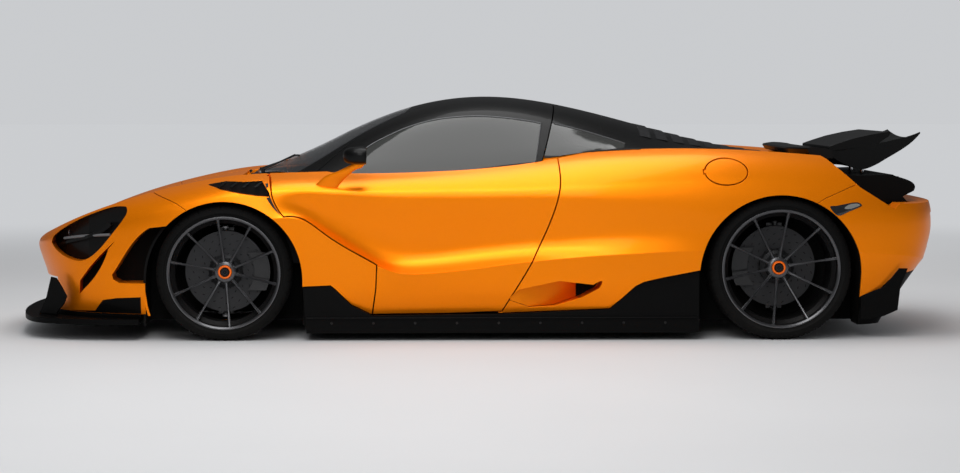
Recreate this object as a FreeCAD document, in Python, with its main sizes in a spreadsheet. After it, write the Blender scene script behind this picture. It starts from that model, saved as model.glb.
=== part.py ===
"""A mid-engined two-seat supercar with a raised rear wing and upswinging doors.

X runs from the nose (negative) to the tail, Y to the car's right, Z up.
The origin is on the floor, under the middle of the car's outline.
"""
import FreeCAD
import Part
import math
import os
import Sketcher

V = FreeCAD.Vector
doc = FreeCAD.newDocument("supercar")

# Driving sizes, all in millimetres and degrees

SIZES = [
    ("wheelbase", 2670), ("front_overhang", 1049), ("rear_overhang", 847),
    ("body_width", 1930), ("body_height", 1165),
    ("front_tyre_radius", 325), ("front_tyre_width", 240), ("front_rim_radius", 262),
    ("rear_tyre_radius", 342), ("rear_tyre_width", 300), ("rear_rim_radius", 276),
    ("front_wheel_inset", 20), ("rear_wheel_inset", 10),
    ("front_arch_clearance", 51), ("rear_arch_clearance", 51),
    ("front_arch_drop", 34), ("rear_arch_drop", 39),
    ("disc_radius", 195), ("disc_thickness", 34), ("hub_bore", 60),
    ("kingpin_inset", 35), ("spoke_count", 10), ("rim_wall", 6),
    ("panel_gap", 3), ("moving_gap", 6), ("seat_gap", 0.3), ("hood_thickness", 26),
    ("roof_thickness", 32), ("glass_thickness", 7),
    ("tub_half_width", 722), ("footwell_half_width", 630), ("floor_thickness", 45),
    ("tunnel_half_width", 110), ("seat_width", 480), ("seat_spread", 362), ("steering_wheel_diameter", 350),
    ("engine_length", 620), ("engine_width", 560), ("engine_height", 520),
    ("exhaust_diameter", 92), ("exhaust_wall", 3), ("wing_span", 860), ("rod_diameter", 18),
    ("fuel_flap_length", 200), ("fuel_flap_height", 120),
    ("flap_thickness", 8), ("diffuser_fins", 6),
]

sheet = doc.addObject("Spreadsheet::Sheet", "sizes")
for line, (alias, value) in enumerate(SIZES, start=1):
    sheet.set("A%d" % line, alias)
    sheet.set("B%d" % line, str(value))
    sheet.setAlias("B%d" % line, alias)
doc.recompute()


def size(alias):
    """The sheet's value for one named size."""
    return float(sheet.get(alias))


# The body's curves are drawn at the car's first size and follow the sheet from there

DRAWN_FRONT_TIP, DRAWN_FRONT_AXLE, DRAWN_REAR_AXLE, DRAWN_TAIL = -2283.0, -1234.0, 1436.0, 2283.0
DRAWN_WIDTH, DRAWN_HEIGHT = 1930.0, 1165.0

length = size("front_overhang") + size("wheelbase") + size("rear_overhang")
FRONT_AXLE = -length / 2 + size("front_overhang")
REAR_AXLE = length / 2 - size("rear_overhang")
HALF_WIDTH = size("body_width") / 2


def lerp(keys, at):
    """The value at a place, straight between keys of (place, value)."""
    if at <= keys[0][0]:
        return keys[0][1]
    for (start, low), (end, high) in zip(keys, keys[1:]):
        if at <= end:
            return low + (high - low) * (at - start) / (end - start)
    return keys[-1][1]


def fit_x(x):
    """A drawn X carried to the present wheelbase and overhangs."""
    marks = [(DRAWN_FRONT_TIP, -length / 2), (DRAWN_FRONT_AXLE, FRONT_AXLE),
             (DRAWN_REAR_AXLE, REAR_AXLE), (DRAWN_TAIL, length / 2)]
    if x < DRAWN_FRONT_TIP:
        return x - DRAWN_FRONT_TIP - length / 2
    if x > DRAWN_TAIL:
        return x - DRAWN_TAIL + length / 2
    return lerp(marks, x)


def fit_y(y):
    """A drawn Y carried to the present body width."""
    return y * size("body_width") / DRAWN_WIDTH


def fit_z(z):
    """A drawn Z carried to the present body height."""
    return z * size("body_height") / DRAWN_HEIGHT


def fit(x, y, z):
    """A drawn point carried to the present sizes."""
    return V(fit_x(x), fit_y(y), fit_z(z))


# Helpers that turn drawn points into faces and solids

GROWN_EDGE_POINTS = 15


def knot_vector(count, degree):
    """Clamped even knots and their multiplicities."""
    inner = count - degree - 1
    return [float(i) for i in range(inner + 2)], [degree + 1] + [1] * inner + [degree + 1]


def smooth_face(rows):
    """A face pulled smoothly towards a net of points, three wide in both directions."""
    knots_u, mults_u = knot_vector(len(rows), 3)
    knots_v, mults_v = knot_vector(len(rows[0]), 3)
    surface = Part.BSplineSurface()
    surface.buildFromPolesMultsKnots(rows, mults_u, mults_v, knots_u, knots_v, False, False, 3, 3)
    return surface.toShape()


def curve_edge(points):
    """A smooth edge through the points."""
    curve = Part.BSplineCurve()
    curve.interpolate(points)
    return curve.toShape()


def closed_wire(points, lift):
    """A closed outline: straight from point to point, smooth through each inner list."""
    edges = []
    last = None
    for item in points + [points[0] if not isinstance(points[0], list) else points[0][0]]:
        run = [lift(*p) for p in item] if isinstance(item, list) else [lift(*item)]
        if last is not None and last.distanceToPoint(run[0]) > 1e-6:
            edges.append(Part.LineSegment(last, run[0]).toShape())
        if len(run) > 1:
            edges.append(curve_edge(run))
        last = run[-1]
    return Part.Wire(edges)


def side_wire(points):
    """A closed outline drawn in side view."""
    return closed_wire(points, lambda x, z: fit(x, 0, z))


def grown(wire, distance):
    """A face round a closed outline grown by a distance, with plain straight and smooth edges."""
    edges = []
    for edge in Part.Face(wire).makeOffset2D(distance).Wires[0].OrderedEdges:
        points = [edge.valueAt(place) for place in edge.ParameterRange]
        if edge.Curve.TypeId == "Part::GeomLine":
            edges.append(Part.LineSegment(*points).toShape())
        else:
            edges.append(curve_edge(edge.discretize(Number=GROWN_EDGE_POINTS)))
    return Part.Face(Part.Wire(Part.__sortEdges__(edges)))


def side_prism(points, inner, outer, grow=0.0):
    """A side-view outline, grown if asked, pulled across the car between two drawn Y."""
    wire = side_wire(points)
    face = grown(wire, grow) if grow else Part.Face(wire)
    face.translate(V(0, fit_y(inner), 0))
    return face.extrude(V(0, fit_y(outer) - fit_y(inner), 0))


def plan_prism(points, low, high, grow=0.0):
    """A plan-view outline, grown if asked, pulled up between two drawn Z."""
    wire = closed_wire(points, lambda x, y: fit(x, y, 0))
    face = grown(wire, grow) if grow else Part.Face(wire)
    face.translate(V(0, 0, fit_z(low)))
    return face.extrude(V(0, 0, fit_z(high) - fit_z(low)))


def box(x0, x1, y0, y1, z0, z1):
    """A plain box between drawn corners."""
    low, high = fit(x0, y0, z0), fit(x1, y1, z1)
    return Part.makeBox(high.x - low.x, high.y - low.y, high.z - low.z, low)


def both(outline):
    """A plan outline drawn on the car's left, closed with its mirror image."""
    mirror = []
    for item in reversed(outline):
        if isinstance(item, list):
            mirror.append([(x, -y) for x, y in reversed(item)])
        else:
            mirror.append((item[0], -item[1]))
    return outline + mirror


def mirrored(shape):
    """The same shape on the car's other side."""
    return shape.mirror(V(0, 0, 0), V(0, 1, 0))


def largest(shape):
    """The one big solid of a cut, without slivers."""
    return max(shape.Solids, key=lambda solid: solid.Volume)


def rod(start, end, radius):
    """A round bar from one point to another."""
    return Part.makeCylinder(radius, start.distanceToPoint(end), start, end - start)


made = {}


def add_feature(name, shape):
    """A free-form sub-part as a document object with its own label."""
    item = doc.addObject("Part::Feature", name)
    item.Label = name
    item.Shape = shape
    made[name] = item
    return item


# The side of the body: a band of curves from nose to tail around the left side

PLAN = [(-2219, 0), (-2219, 200), (-2195, 400), (-2120, 600), (-1985, 765), (-1800, 880), (-1590, 940),
        (-1400, 960), (-1200, 966), (-1060, 964), (-950, 961), (-860, 957), (-760, 951), (-640, 946),
        (-520, 943), (-400, 940), (-260, 939), (-80, 938), (100, 941), (280, 945), (560, 955), (860, 962),
        (1140, 966), (1430, 968), (1700, 962), (1920, 940), (2080, 880), (2180, 770), (2235, 600),
        (2262, 400), (2272, 200), (2272, 0)]

# Each row of the band: (X, outward from the plan line, Z)
UNDER_ROWS = [
    [(-2219, -70, 60), (-1590, -60, 60), (1140, -60, 60), (1920, -150, 60), (2272, -300, 60)],
    [(-2219, -70, 130), (-1985, -40, 130), (-1200, -40, 140), (1140, -40, 140), (1920, -120, 140),
     (2272, -220, 140)],
    [(-2219, -66, 190), (-1985, -25, 190), (-1200, -12, 200), (1140, -10, 220), (1920, -90, 200),
     (2272, -170, 210)],
    [(-2219, -56, 250), (-1985, -15, 260), (-1200, -2, 290), (-740, -2, 290), (-80, 4, 255), (560, 0, 275),
     (1140, -5, 300), (1920, -50, 290), (2272, -110, 290)],
]
CREASE_ROW = [(-2219, -44, 300), (-1985, -5, 340), (-1400, 0, 480), (-1200, 0, 540), (-1060, 0, 580),
              (-950, 1, 594), (-860, 2, 590), (-760, 5, 524), (-640, 10, 446), (-520, 15, 366),
              (-400, 18, 318), (-260, 18, 324), (-80, 15, 340), (100, 12, 366), (280, 9, 386),
              (560, 3, 410), (1140, 0, 436), (1700, 0, 430), (2080, -10, 400), (2235, -40, 370),
              (2272, -62, 360)]
# Rows that follow the crease: (X, outward, height over the crease)
LEDGE_ROWS = [
    [(-2219, -25, 50), (-1985, -2, 60), (-1200, -1, 40), (-1060, -1, 28), (-950, -8, 20), (-860, -34, 16),
     (-760, -50, 18), (-520, -58, 24), (-80, -56, 32), (280, -38, 30), (560, -15, 32), (1140, -2, 44),
     (1920, 0, 50), (2235, -20, 60), (2272, -30, 80)],
    [(-2219, -8, 95), (-1985, 0, 110), (-1200, -6, 80), (-1060, -8, 62), (-950, -22, 52), (-860, -48, 50),
     (-760, -60, 66), (-520, -76, 84), (-80, -80, 90), (280, -62, 76), (560, -30, 72), (1140, -2, 100),
     (1920, 2, 110), (2235, 0, 130), (2272, -4, 160)],
]
SHOULDER_ROWS = [
    [(-2219, 0, 425), (-1985, 0, 500), (-1590, -2, 575), (-1200, -12, 650), (-1000, -20, 680),
     (-860, -36, 684), (-740, -56, 655), (-600, -61, 610), (-420, -62, 570), (-80, -60, 560),
     (250, -48, 570), (560, -24, 590), (1140, -2, 612), (1920, 0, 600), (2235, 0, 560), (2272, 0, 580)],
    [(-2219, -4, 450), (-1985, -10, 545), (-1590, -12, 620), (-1200, -20, 700), (-980, -28, 722),
     (-740, -32, 705), (-420, -27, 682), (-80, -25, 680), (250, -19, 690), (560, -13, 702),
     (1140, -8, 712), (1920, -8, 680), (2235, -4, 610), (2272, 0, 620)],
    [(-2219, -30, 474), (-1985, -40, 590), (-1590, -45, 660), (-1200, -50, 738), (-980, -58, 752),
     (-740, -56, 738), (-420, -50, 735), (-80, -48, 740), (250, -46, 750), (560, -45, 768),
     (1140, -45, 804), (1700, -50, 790), (2080, -40, 740), (2235, -20, 670), (2272, -10, 660)],
    [(-2219, -85, 500), (-1985, -95, 630), (-1590, -110, 695), (-1200, -120, 772), (-980, -125, 778),
     (-740, -120, 770), (-420, -110, 775), (-80, -110, 785), (250, -115, 808), (560, -125, 845),
     (1140, -140, 885), (1700, -140, 862), (2080, -110, 800), (2235, -60, 740), (2272, -40, 720)],
    [(-2219, -200, 560), (-1985, -200, 680), (-1590, -220, 724), (-1200, -215, 797), (-980, -210, 796),
     (-740, -200, 792), (-420, -190, 800), (-80, -190, 820), (250, -210, 855), (560, -230, 900),
     (1140, -260, 928), (1700, -260, 906), (2080, -220, 860), (2235, -160, 820), (2272, -100, 790)],
    [(-2219, -420, 720), (-1985, -420, 800), (-1590, -420, 800), (-1200, -380, 850), (-80, -340, 880),
     (1140, -400, 980), (2080, -380, 950), (2272, -260, 900)],
]
BAND_TOP, BAND_FLOOR = 1150, 60
BAND_TOP_LENGTH_SHARE, BAND_TOP_WIDTH_SHARE = 0.62, 0.30


def outward(index):
    """The plan line's outward direction at one of its points."""
    x0, y0 = PLAN[max(index - 1, 0)]
    x1, y1 = PLAN[min(index + 1, len(PLAN) - 1)]
    run = math.hypot(x1 - x0, y1 - y0)
    return -(y1 - y0) / run, (x1 - x0) / run


def band_row(keys, base=None):
    """One row of the band's net on the car's left."""
    offsets = [(x, out) for x, out, _ in keys]
    heights = [(x, z) for x, _, z in keys]
    row = []
    for index, (x, y) in enumerate(PLAN):
        across, along = outward(index)
        out = lerp(offsets, x)
        z = lerp(heights, x) + (lerp(base, x) if base else 0)
        at_end = index in (0, len(PLAN) - 1)
        row.append([x + across * out, 0 if at_end else max(y + along * out, 0), z])
    row[1][0] = row[0][0]
    row[-2][0] = row[-1][0]
    return [fit(x, -y, z) for x, y, z in row]


def body_band():
    """The closed solid inside the body's sides, with a flat lid above the car."""
    crease_height = [(x, z) for x, _, z in CREASE_ROW]
    lid = [fit(x * BAND_TOP_LENGTH_SHARE, -y * BAND_TOP_WIDTH_SHARE, BAND_TOP) for x, y in PLAN]
    under = [band_row(keys) for keys in UNDER_ROWS] + [band_row(CREASE_ROW)]
    over = [band_row(CREASE_ROW)] + [band_row(keys, crease_height) for keys in LEDGE_ROWS]
    over += [band_row(keys) for keys in SHOULDER_ROWS] + [lid]
    faces = []
    for rows in (under, over):
        face = smooth_face([list(points) for points in zip(*rows)])
        faces += [face, mirrored(face)]
    for height in (BAND_FLOOR, BAND_TOP):
        rim = [edge for face in faces for edge in face.Edges
               if all(abs(v.Point.z - fit_z(height)) < 0.01 for v in edge.Vertexes)]
        faces.append(Part.Face(Part.Wire(Part.__sortEdges__(rim))))
    shell = Part.makeShell(faces)
    shell.sewShape()
    solid = Part.Solid(shell)
    if solid.Volume < 0:
        solid.reverse()
    return solid


# The top of the body: nose, fender crowns and rear haunches

TOP_STATIONS = [-2500, -2300, -2160, -2020, -1850, -1650, -1450, -1250, -1050, -850, -600, -300, 0, 300,
                600, 900, 1200, 1500, 1800, 2100, 2400]
CENTRE_LINE = [(-2500, 330), (-2219, 455), (-2087, 525), (-1950, 578), (-1804, 628), (-1650, 667),
               (-1500, 702), (-1300, 750), (-1168, 776), (-900, 800), (0, 850), (900, 870), (1300, 870),
               (1700, 850), (2000, 820), (2400, 780)]
CROWN_LINE = [(-2500, 330), (-2219, 455), (-2060, 540), (-1900, 610), (-1725, 675), (-1600, 710),
              (-1500, 734), (-1400, 756), (-1234, 784), (-1100, 790), (-900, 790), (-600, 800),
              (-200, 830), (200, 872), (600, 918), (900, 929), (1100, 926), (1330, 908), (1567, 890),
              (1703, 874), (2000, 840), (2400, 800)]
EDGE_LINE = [(-2500, 330), (-2219, 455), (-2060, 545), (-1900, 610), (-1725, 668), (-1600, 705),
             (-1400, 765), (-1100, 830), (-600, 860), (600, 940), (1330, 930), (2000, 880), (2400, 850)]
TOP_COLUMNS = [(1150, 0, 0), (960, 0, 0), (760, 0, 1), (560, 0.6, 0.4), (280, 1, 0)]


def body_top():
    """The face over the whole body below the glasshouse."""
    rows = []
    for x in TOP_STATIONS:
        centre, crown, edge = lerp(CENTRE_LINE, x), lerp(CROWN_LINE, x), lerp(EDGE_LINE, x)
        left = [fit(x, -y, edge + (centre - edge) * c + (crown - edge) * k) for y, c, k in TOP_COLUMNS]
        right = [V(p.x, -p.y, p.z) for p in reversed(left)]
        rows.append(left + right)
    return smooth_face(rows)


# The glasshouse: roof, pillars and glass in one teardrop

# (X, centre Z, rail Y, rail Z, waist Y, waist Z)
GLASSHOUSE = [
    (-1330, 690, 600, 670, 800, 640), (-1180, 764, 620, 728, 815, 690), (-1060, 812, 625, 762, 812, 715),
    (-930, 862, 620, 800, 806, 735), (-780, 928, 600, 858, 800, 750), (-620, 1012, 578, 930, 796, 765),
    (-460, 1078, 556, 992, 792, 778), (-300, 1130, 536, 1040, 790, 790), (-120, 1163, 520, 1074, 790, 800),
    (60, 1172, 510, 1086, 788, 812), (240, 1158, 505, 1072, 782, 828), (420, 1126, 498, 1040, 770, 846),
    (600, 1084, 486, 998, 745, 862), (800, 1030, 462, 950, 700, 876), (1000, 974, 430, 912, 640, 880),
    (1200, 924, 390, 886, 570, 872), (1400, 892, 350, 864, 500, 850), (1600, 868, 320, 840, 440, 820),
    (1800, 838, 300, 805, 400, 780),
]
GLASSHOUSE_FLOOR = 600


def glasshouse(inset=0.0):
    """The closed solid under the glasshouse skin, drawn in by an inset."""
    rows = []
    for x, top, rail_y, rail_z, waist_y, waist_z in GLASSHOUSE:
        half = [(waist_y + 22, waist_z - 120), (waist_y, waist_z), ((waist_y + rail_y) / 2 + 14,
                (waist_z + rail_z) / 2 + 6), (rail_y + 16, rail_z + 8), (rail_y - 110, rail_z + (top - rail_z) * 0.62),
                (rail_y * 0.42, top - (top - rail_z) * 0.08), (0, top)]
        rows.append([fit(x, -y, z) for y, z in half] + [fit(x, y, z) for y, z in reversed(half[:-1])])
    if inset:
        rows = drawn_in(rows, inset)
    face = smooth_face(rows)
    return face.extrude(V(0, 0, -fit_z(BAND_TOP))).common(
        box(-1500, 1950, -965, 965, GLASSHOUSE_FLOOR, 1400))


def drawn_in(rows, inset):
    """The same net moved inwards, square to itself."""
    moved = []
    for i, row in enumerate(rows):
        before, after = rows[max(i - 1, 0)], rows[min(i + 1, len(rows) - 1)]
        line = []
        for j, point in enumerate(row):
            along = after[j] - before[j]
            across = row[min(j + 1, len(row) - 1)] - row[max(j - 1, 0)]
            normal = along.cross(across)
            normal.normalize()
            line.append(point - normal * inset if normal.z > 0 else point + normal * inset)
        moved.append(line)
    return moved


# The spaces inside the car, and the cuts that divide its panels

BODY = body_band().common(body_top().extrude(V(0, 0, -fit_z(1500))))
GLASSHOUSE_OUTER = glasshouse()
GLASSHOUSE_LINING = glasshouse(size("roof_thickness"))
GLASSHOUSE_GLASS = glasshouse(size("glass_thickness"))
ROOF_SHELL = GLASSHOUSE_OUTER.cut(GLASSHOUSE_LINING)
GLASS_SHELL = GLASSHOUSE_OUTER.cut(GLASSHOUSE_GLASS)

CABIN_FRONT, CABIN_REAR, CABIN_SILL, CABIN_WAIST = -960, 430, 330, 770
WELL_INNER_FRONT, WELL_INNER_REAR = 535, 600
OUTSIDE = 1100
GAP = size("panel_gap")
MOVE = size("moving_gap")
SEAT = size("seat_gap")

front_wheel_y = HALF_WIDTH - size("front_wheel_inset") - size("front_tyre_width") / 2
rear_wheel_y = HALF_WIDTH - size("rear_wheel_inset") - size("rear_tyre_width") / 2
front_arch_radius = size("front_tyre_radius") + size("front_arch_clearance")
rear_arch_radius = size("rear_tyre_radius") + size("rear_arch_clearance")
front_arch_height = size("front_tyre_radius") - size("front_arch_drop")
rear_arch_height = size("rear_tyre_radius") - size("rear_arch_drop")


def wheel_well(axle, radius, height, inner, outer=OUTSIDE):
    """The space round one left wheel, open below, between two distances from the middle."""
    reach = outer - inner
    drum = Part.makeCylinder(radius, reach, V(axle, -inner, height), V(0, -1, 0))
    below = Part.makeBox(2 * radius, reach, height + 1, V(axle - radius, -inner - reach, -1))
    return drum.fuse(below)


FRONT_LIP, STEER_ROOM, WHEELHOUSE_WALL = 80, 12, 14
front_well_inner = front_wheel_y - (825 - WELL_INNER_FRONT)
FRONT_WELL = wheel_well(FRONT_AXLE, front_arch_radius, front_arch_height, front_well_inner)
FRONT_WELL = FRONT_WELL.fuse(wheel_well(FRONT_AXLE, front_arch_radius + STEER_ROOM, front_arch_height,
                                        front_well_inner, HALF_WIDTH - FRONT_LIP))
FRONT_HOUSE = wheel_well(FRONT_AXLE, front_arch_radius + STEER_ROOM + WHEELHOUSE_WALL, front_arch_height,
                         front_well_inner - WHEELHOUSE_WALL)
REAR_WELL = wheel_well(REAR_AXLE, rear_arch_radius, rear_arch_height,
                       rear_wheel_y - (805 - WELL_INNER_REAR))

# Side-view and plan-view outlines of the panels, at the car's first size

BUMPER_LINE = [(-1300, 0), (-1300, 540), (-1412, 623), [(-1412, 623), (-1454, 653), (-1522, 682), (-1603, 713)],
               (-1700, 748), (-1790, 900), (-2600, 900), (-2600, 0)]
DOOR_LOWER = [(-1052, 1000), [(-1034, 812), (-1008, 762), (-1000, 700), (-984, 655), (-944, 598)],
              [(-944, 598), (-850, 585), (-764, 527), (-662, 458), (-574, 408), (-500, 366)], (-505, 250),
              (-523, 121), (-100, 133),
              [(95, 140), (164, 254), (232, 369), (291, 487), (339, 603), (367, 701), (375, 759), (373, 827),
               (370, 868)], (360, 1000)]
DOOR_WINDOW = [[(-640, 786), (-604, 860), (-559, 914), (-462, 969), (-345, 1019), (-229, 1051), (-111, 1066),
                (5, 1070), (122, 1062), (239, 1047), (301, 1034)], (266, 852),
               [(110, 836), (-37, 816), (-234, 797), (-432, 787), (-600, 784)]]
QUARTER_WINDOW = [(352, 1036), [(494, 1003), (615, 967), (712, 936)], (704, 918), [(564, 903), (430, 886),
                  (306, 866)]]
DOOR_UPPER_FRONT, DOOR_SPINE = (-880, -780), -170
DOOR_UPPER_TURN = (-250, -395)
DOOR_UPPER_LEAN = 20
DOOR_REAR_TOP, DOOR_REAR_WAIST = (385, 1150), (297, 858)
HOOD_FRONT, HOOD_REAR = -2030, -1205
HOOD_PLAN = [(HOOD_REAR, 0), (HOOD_REAR, -585), [(-1400, -560), (-1600, -520), (-1800, -450), (-1930, -350),
             (-2010, -180), (HOOD_FRONT, 0)]]
SKIRT_LINE = [(-858, 259), (-724, 264), (-700, 244), (-627, 171), (-525, 121), (95, 128), (614, 150),
              (673, 201), (736, 259), (775, 279), (857, 298), (1100, 345)]
REAR_BUMPER_FRONT = [(1450, 0), (1450, 560), (1650, 681), (1796, 743), (1850, 800)]
TAIL_SLOPE = [(1560, 935), (1671, 868), (1818, 732), (1985, 627), (2015, 652), (2400, 652)]
DIFFUSER_LINE = [(1760, 150), (1838, 202), (1934, 238), (2007, 307), (2400, 335)]


def hood_slot(depth, grow):
    """The slab under the hood's outline, down to a depth below the skin."""
    face = body_top()
    face.translate(V(0, 0, fit_z(60)))
    slab = face.extrude(V(0, 0, -fit_z(60) - depth))
    return slab.common(plan_prism(both(HOOD_PLAN), 350, 900, grow))


def hood_piece():
    """The lid over the luggage bay."""
    slab = body_top().extrude(V(0, 0, -size("hood_thickness")))
    return slab.common(plan_prism(both(HOOD_PLAN), 350, 900))


def door_upper(grow=0.0):
    """The wedge that holds the door's part of roof and pillar, leaning out over its edges."""
    lean = math.tan(math.radians(DOOR_UPPER_LEAN))
    waist, top = 700.0, 1300.0
    x0, y0 = DOOR_UPPER_FRONT
    x1, y1 = DOOR_UPPER_TURN
    run = math.hypot(x1 - x0, y1 - y0)
    nx, ny = -(y1 - y0) / run, (x1 - x0) / run
    rear_run = (DOOR_REAR_TOP[0] - DOOR_REAR_WAIST[0]) / (DOOR_REAR_TOP[1] - DOOR_REAR_WAIST[1])
    layers = []
    for z in (waist, top):
        shift = (z - 780) * lean + grow
        rear = DOOR_REAR_WAIST[0] + (z - DOOR_REAR_WAIST[1]) * rear_run + grow
        spine = DOOR_SPINE + grow + (z - 1150) * 0.2
        ax, ay = x0 + nx * shift, y0 + ny * shift
        dx, dy = (x1 - x0) / run, (y1 - y0) / run
        start = (ax + dx * (-OUTSIDE - ay) / dy, -OUTSIDE)
        turn = (ax + dx * (spine - ay) / dy, spine)
        layers.append(Part.makePolygon([fit(px, py, z) for px, py in (start, turn, (rear, spine),
                                       (rear, -OUTSIDE), start)]))
    return Part.makeLoft(layers, True, True)


UPPER = door_upper()
UPPER_SPACE = door_upper(MOVE)
TUB_SIDE = size("tub_half_width") * DRAWN_WIDTH / size("body_width")
BEHIND_DOOR_SILL = box(-1100, 560, -TUB_SIDE - SEAT, TUB_SIDE + SEAT, 0, CABIN_WAIST)
DOOR_LOWER_PRISM = side_prism(DOOR_LOWER, -OUTSIDE, -TUB_SIDE - MOVE)
DOOR_LOWER_SPACE = side_prism(DOOR_LOWER, -OUTSIDE, -TUB_SIDE - SEAT, MOVE)
SKIRT_BELOW_GAP = side_prism(SKIRT_LINE + [(1100, -50), (-858, -50)], -OUTSIDE, -560, GAP)
SKIRT_BELOW_SPACE = side_prism(SKIRT_LINE + [(1100, -50), (-858, -50)], -OUTSIDE, -560, MOVE)
FRONT_OF_FENDER = side_prism(BUMPER_LINE, -OUTSIDE, 0)
HOOD_SPACE = hood_slot(size("hood_thickness") + MOVE, MOVE + 2 * SEAT)


def lowered_top(depth):
    """All that lies below the skin by a depth."""
    face = body_top()
    face.translate(V(0, 0, -depth))
    return face.extrude(V(0, 0, -fit_z(1500)))


TUB_DEPTH, TUB_FRONT, TUB_HALF, TUB_TOP, DASH_PANEL = 62, -1930, 530, 690, -1004
LUGGAGE_BLOCK = box(TUB_FRONT, DASH_PANEL - SEAT, -TUB_HALF, TUB_HALF, 115, TUB_TOP).common(lowered_top(TUB_DEPTH))
LUGGAGE_BLOCK_GAP = box(TUB_FRONT - SEAT, DASH_PANEL, -TUB_HALF - SEAT, TUB_HALF + SEAT, 0, TUB_TOP + SEAT).common(
    lowered_top(TUB_DEPTH - SEAT))

# Nose, fenders and hood

HEADLIGHT = [[(-1703, 640), (-1697, 618), (-1712, 585), (-1765, 517), (-1839, 432), (-1888, 393), (-1925, 378),
              (-1967, 378), (-2021, 395), (-2071, 427), (-2093, 455)],
             [(-2093, 455), (-2088, 477), (-2046, 517), (-1962, 566), (-1839, 617), (-1755, 640), (-1703, 640)]]
SIDE_INTAKE = [(-1500, 552), [(-1586, 542), (-1625, 515), (-1698, 428), (-1742, 359), (-1772, 315)],
               (-1766, 292), (-1737, 276), (-1450, 275)]
NOSE_SLOT = [(-1755, 477), [(-1789, 438), (-1829, 348), (-1888, 270)], (-1943, 215), (-1938, 279),
             [(-1888, 344), (-1839, 398), (-1755, 477)]]
MOUTH_TOP, MOUTH_BOTTOM = 288, 150


def nose_recess(outline, inner):
    """A cutter through the nose's left cheek, down to a drawn Y."""
    return side_prism(outline, -OUTSIDE, inner)


headlight_cut = nose_recess(HEADLIGHT, -420)
LAMP_FLOOR = [(-2125, -430), (-2020, -590), (-1900, -690), (-1690, -775)]
headlight_floor = plan_prism([(-2300, -900)] + LAMP_FLOOR + [(-1640, -900)], 300, 700)
mouth = plan_prism(both([(-2400, 0), (-2400, -640), (-2120, -640), (-1990, -560), (-1990, 0)]),
                   MOUTH_BOTTOM, MOUTH_TOP)

front_zone = FRONT_OF_FENDER.fuse(mirrored(FRONT_OF_FENDER)).common(box(-2600, -1200, -OUTSIDE, OUTSIDE, 126, 900))
bumper = BODY.common(front_zone)
bumper = bumper.cut([HOOD_SPACE, LUGGAGE_BLOCK_GAP, FRONT_WELL, mirrored(FRONT_WELL), mouth])
side_cuts = [nose_recess(SIDE_INTAKE, -700), nose_recess(NOSE_SLOT, -640)]
bumper = bumper.cut(side_cuts + [mirrored(tool) for tool in side_cuts])
lamp_cut = headlight_cut.common(headlight_floor)
arm_room = box(-1430, -1340, -560, -500, 500, 580)
bumper = bumper.cut([lamp_cut, mirrored(lamp_cut), arm_room, mirrored(arm_room)])
add_feature("front_bumper", largest(bumper))

# The door turns on a leaning pin beside the windscreen's foot

HINGE_POINT = fit(-1050, -760, 765)
HINGE_AXIS = V(0.7075, 0.612, 0.353)
HINGE_AXIS.normalize()
HINGE_PIN, HINGE_EYE, HINGE_EYE_DEPTH, HINGE_ARM, DOOR_OPEN = 6, 14, 16, 8, 75
hinge_arm_end = fit(-975, -768, 698)


def hinge_arm(grow=0.0):
    """The arm from the door's front edge to its eye on the pin."""
    depth = HINGE_EYE_DEPTH + 2 * grow
    eye = Part.makeCylinder(HINGE_EYE + grow, depth, HINGE_POINT - HINGE_AXIS * (depth / 2), HINGE_AXIS)
    return eye.fuse(rod(HINGE_POINT, hinge_arm_end, HINGE_ARM + grow))


hinge_space = []
for angle in range(0, DOOR_OPEN + 1, 15):
    swept = hinge_arm(MOVE)
    swept.rotate(HINGE_POINT, -HINGE_AXIS, angle)
    hinge_space.append(swept)
hinge_pin = Part.makeCylinder(HINGE_PIN, 48, HINGE_POINT - HINGE_AXIS * (HINGE_EYE_DEPTH / 2 + 4), HINGE_AXIS)
hinge_foot = HINGE_POINT + HINGE_AXIS * 32
hinge_bracket = hinge_pin.fuse(rod(hinge_foot, fit(-990, -700, 690), 9))
hinge_space.append(rod(hinge_foot, fit(-990, -700, 690), 9 + MOVE))
hinge_space.append(Part.makeCylinder(HINGE_PIN + MOVE, 64, HINGE_POINT - HINGE_AXIS * 20, HINGE_AXIS))
CORNER_INSET = 8
door_corner = DOOR_LOWER_SPACE.translated(V(0, CORNER_INSET, 0))
door_corner = door_corner.common(box(-1070, -985, -OUTSIDE + CORNER_INSET, -TUB_SIDE + CORNER_INSET, 690, 804))
corner_space = [door_corner.rotated(HINGE_POINT, -HINGE_AXIS, angle)
                for angle in (4, 8, 16, 24, 34, 45, 52, 60, DOOR_OPEN)]

fender_zone = side_prism(BUMPER_LINE, -OUTSIDE, 0, GAP)
fender_outline = box(-1800, -480, -OUTSIDE, -TUB_HALF - SEAT, 0, 900)
LOUVRE = [(-1312, 745), (-1278, 763), (-1140, 760), (-1053, 765), (-1016, 712), (-1010, 690), (-1072, 693),
          (-1159, 705), (-1245, 722)]
louvre_cut = side_prism(LOUVRE, -OUTSIDE, -840)
front_fender = BODY.common(fender_outline).cut([fender_zone, HOOD_SPACE, FRONT_WELL, DOOR_LOWER_SPACE,
                                                GLASSHOUSE_LINING, SKIRT_BELOW_GAP, louvre_cut,
                                                BEHIND_DOOR_SILL, UPPER_SPACE.common(box(-1003, 0, -TUB_SIDE - MOVE, 0,
                                                                                         600, 1400))])
front_fender = front_fender.cut([box(-500, 500, -OUTSIDE, 0, 0, 1000)] + hinge_space + corner_space)
front_fender = largest(front_fender)
left_fender = add_feature("front_fender_left", front_fender)


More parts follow.
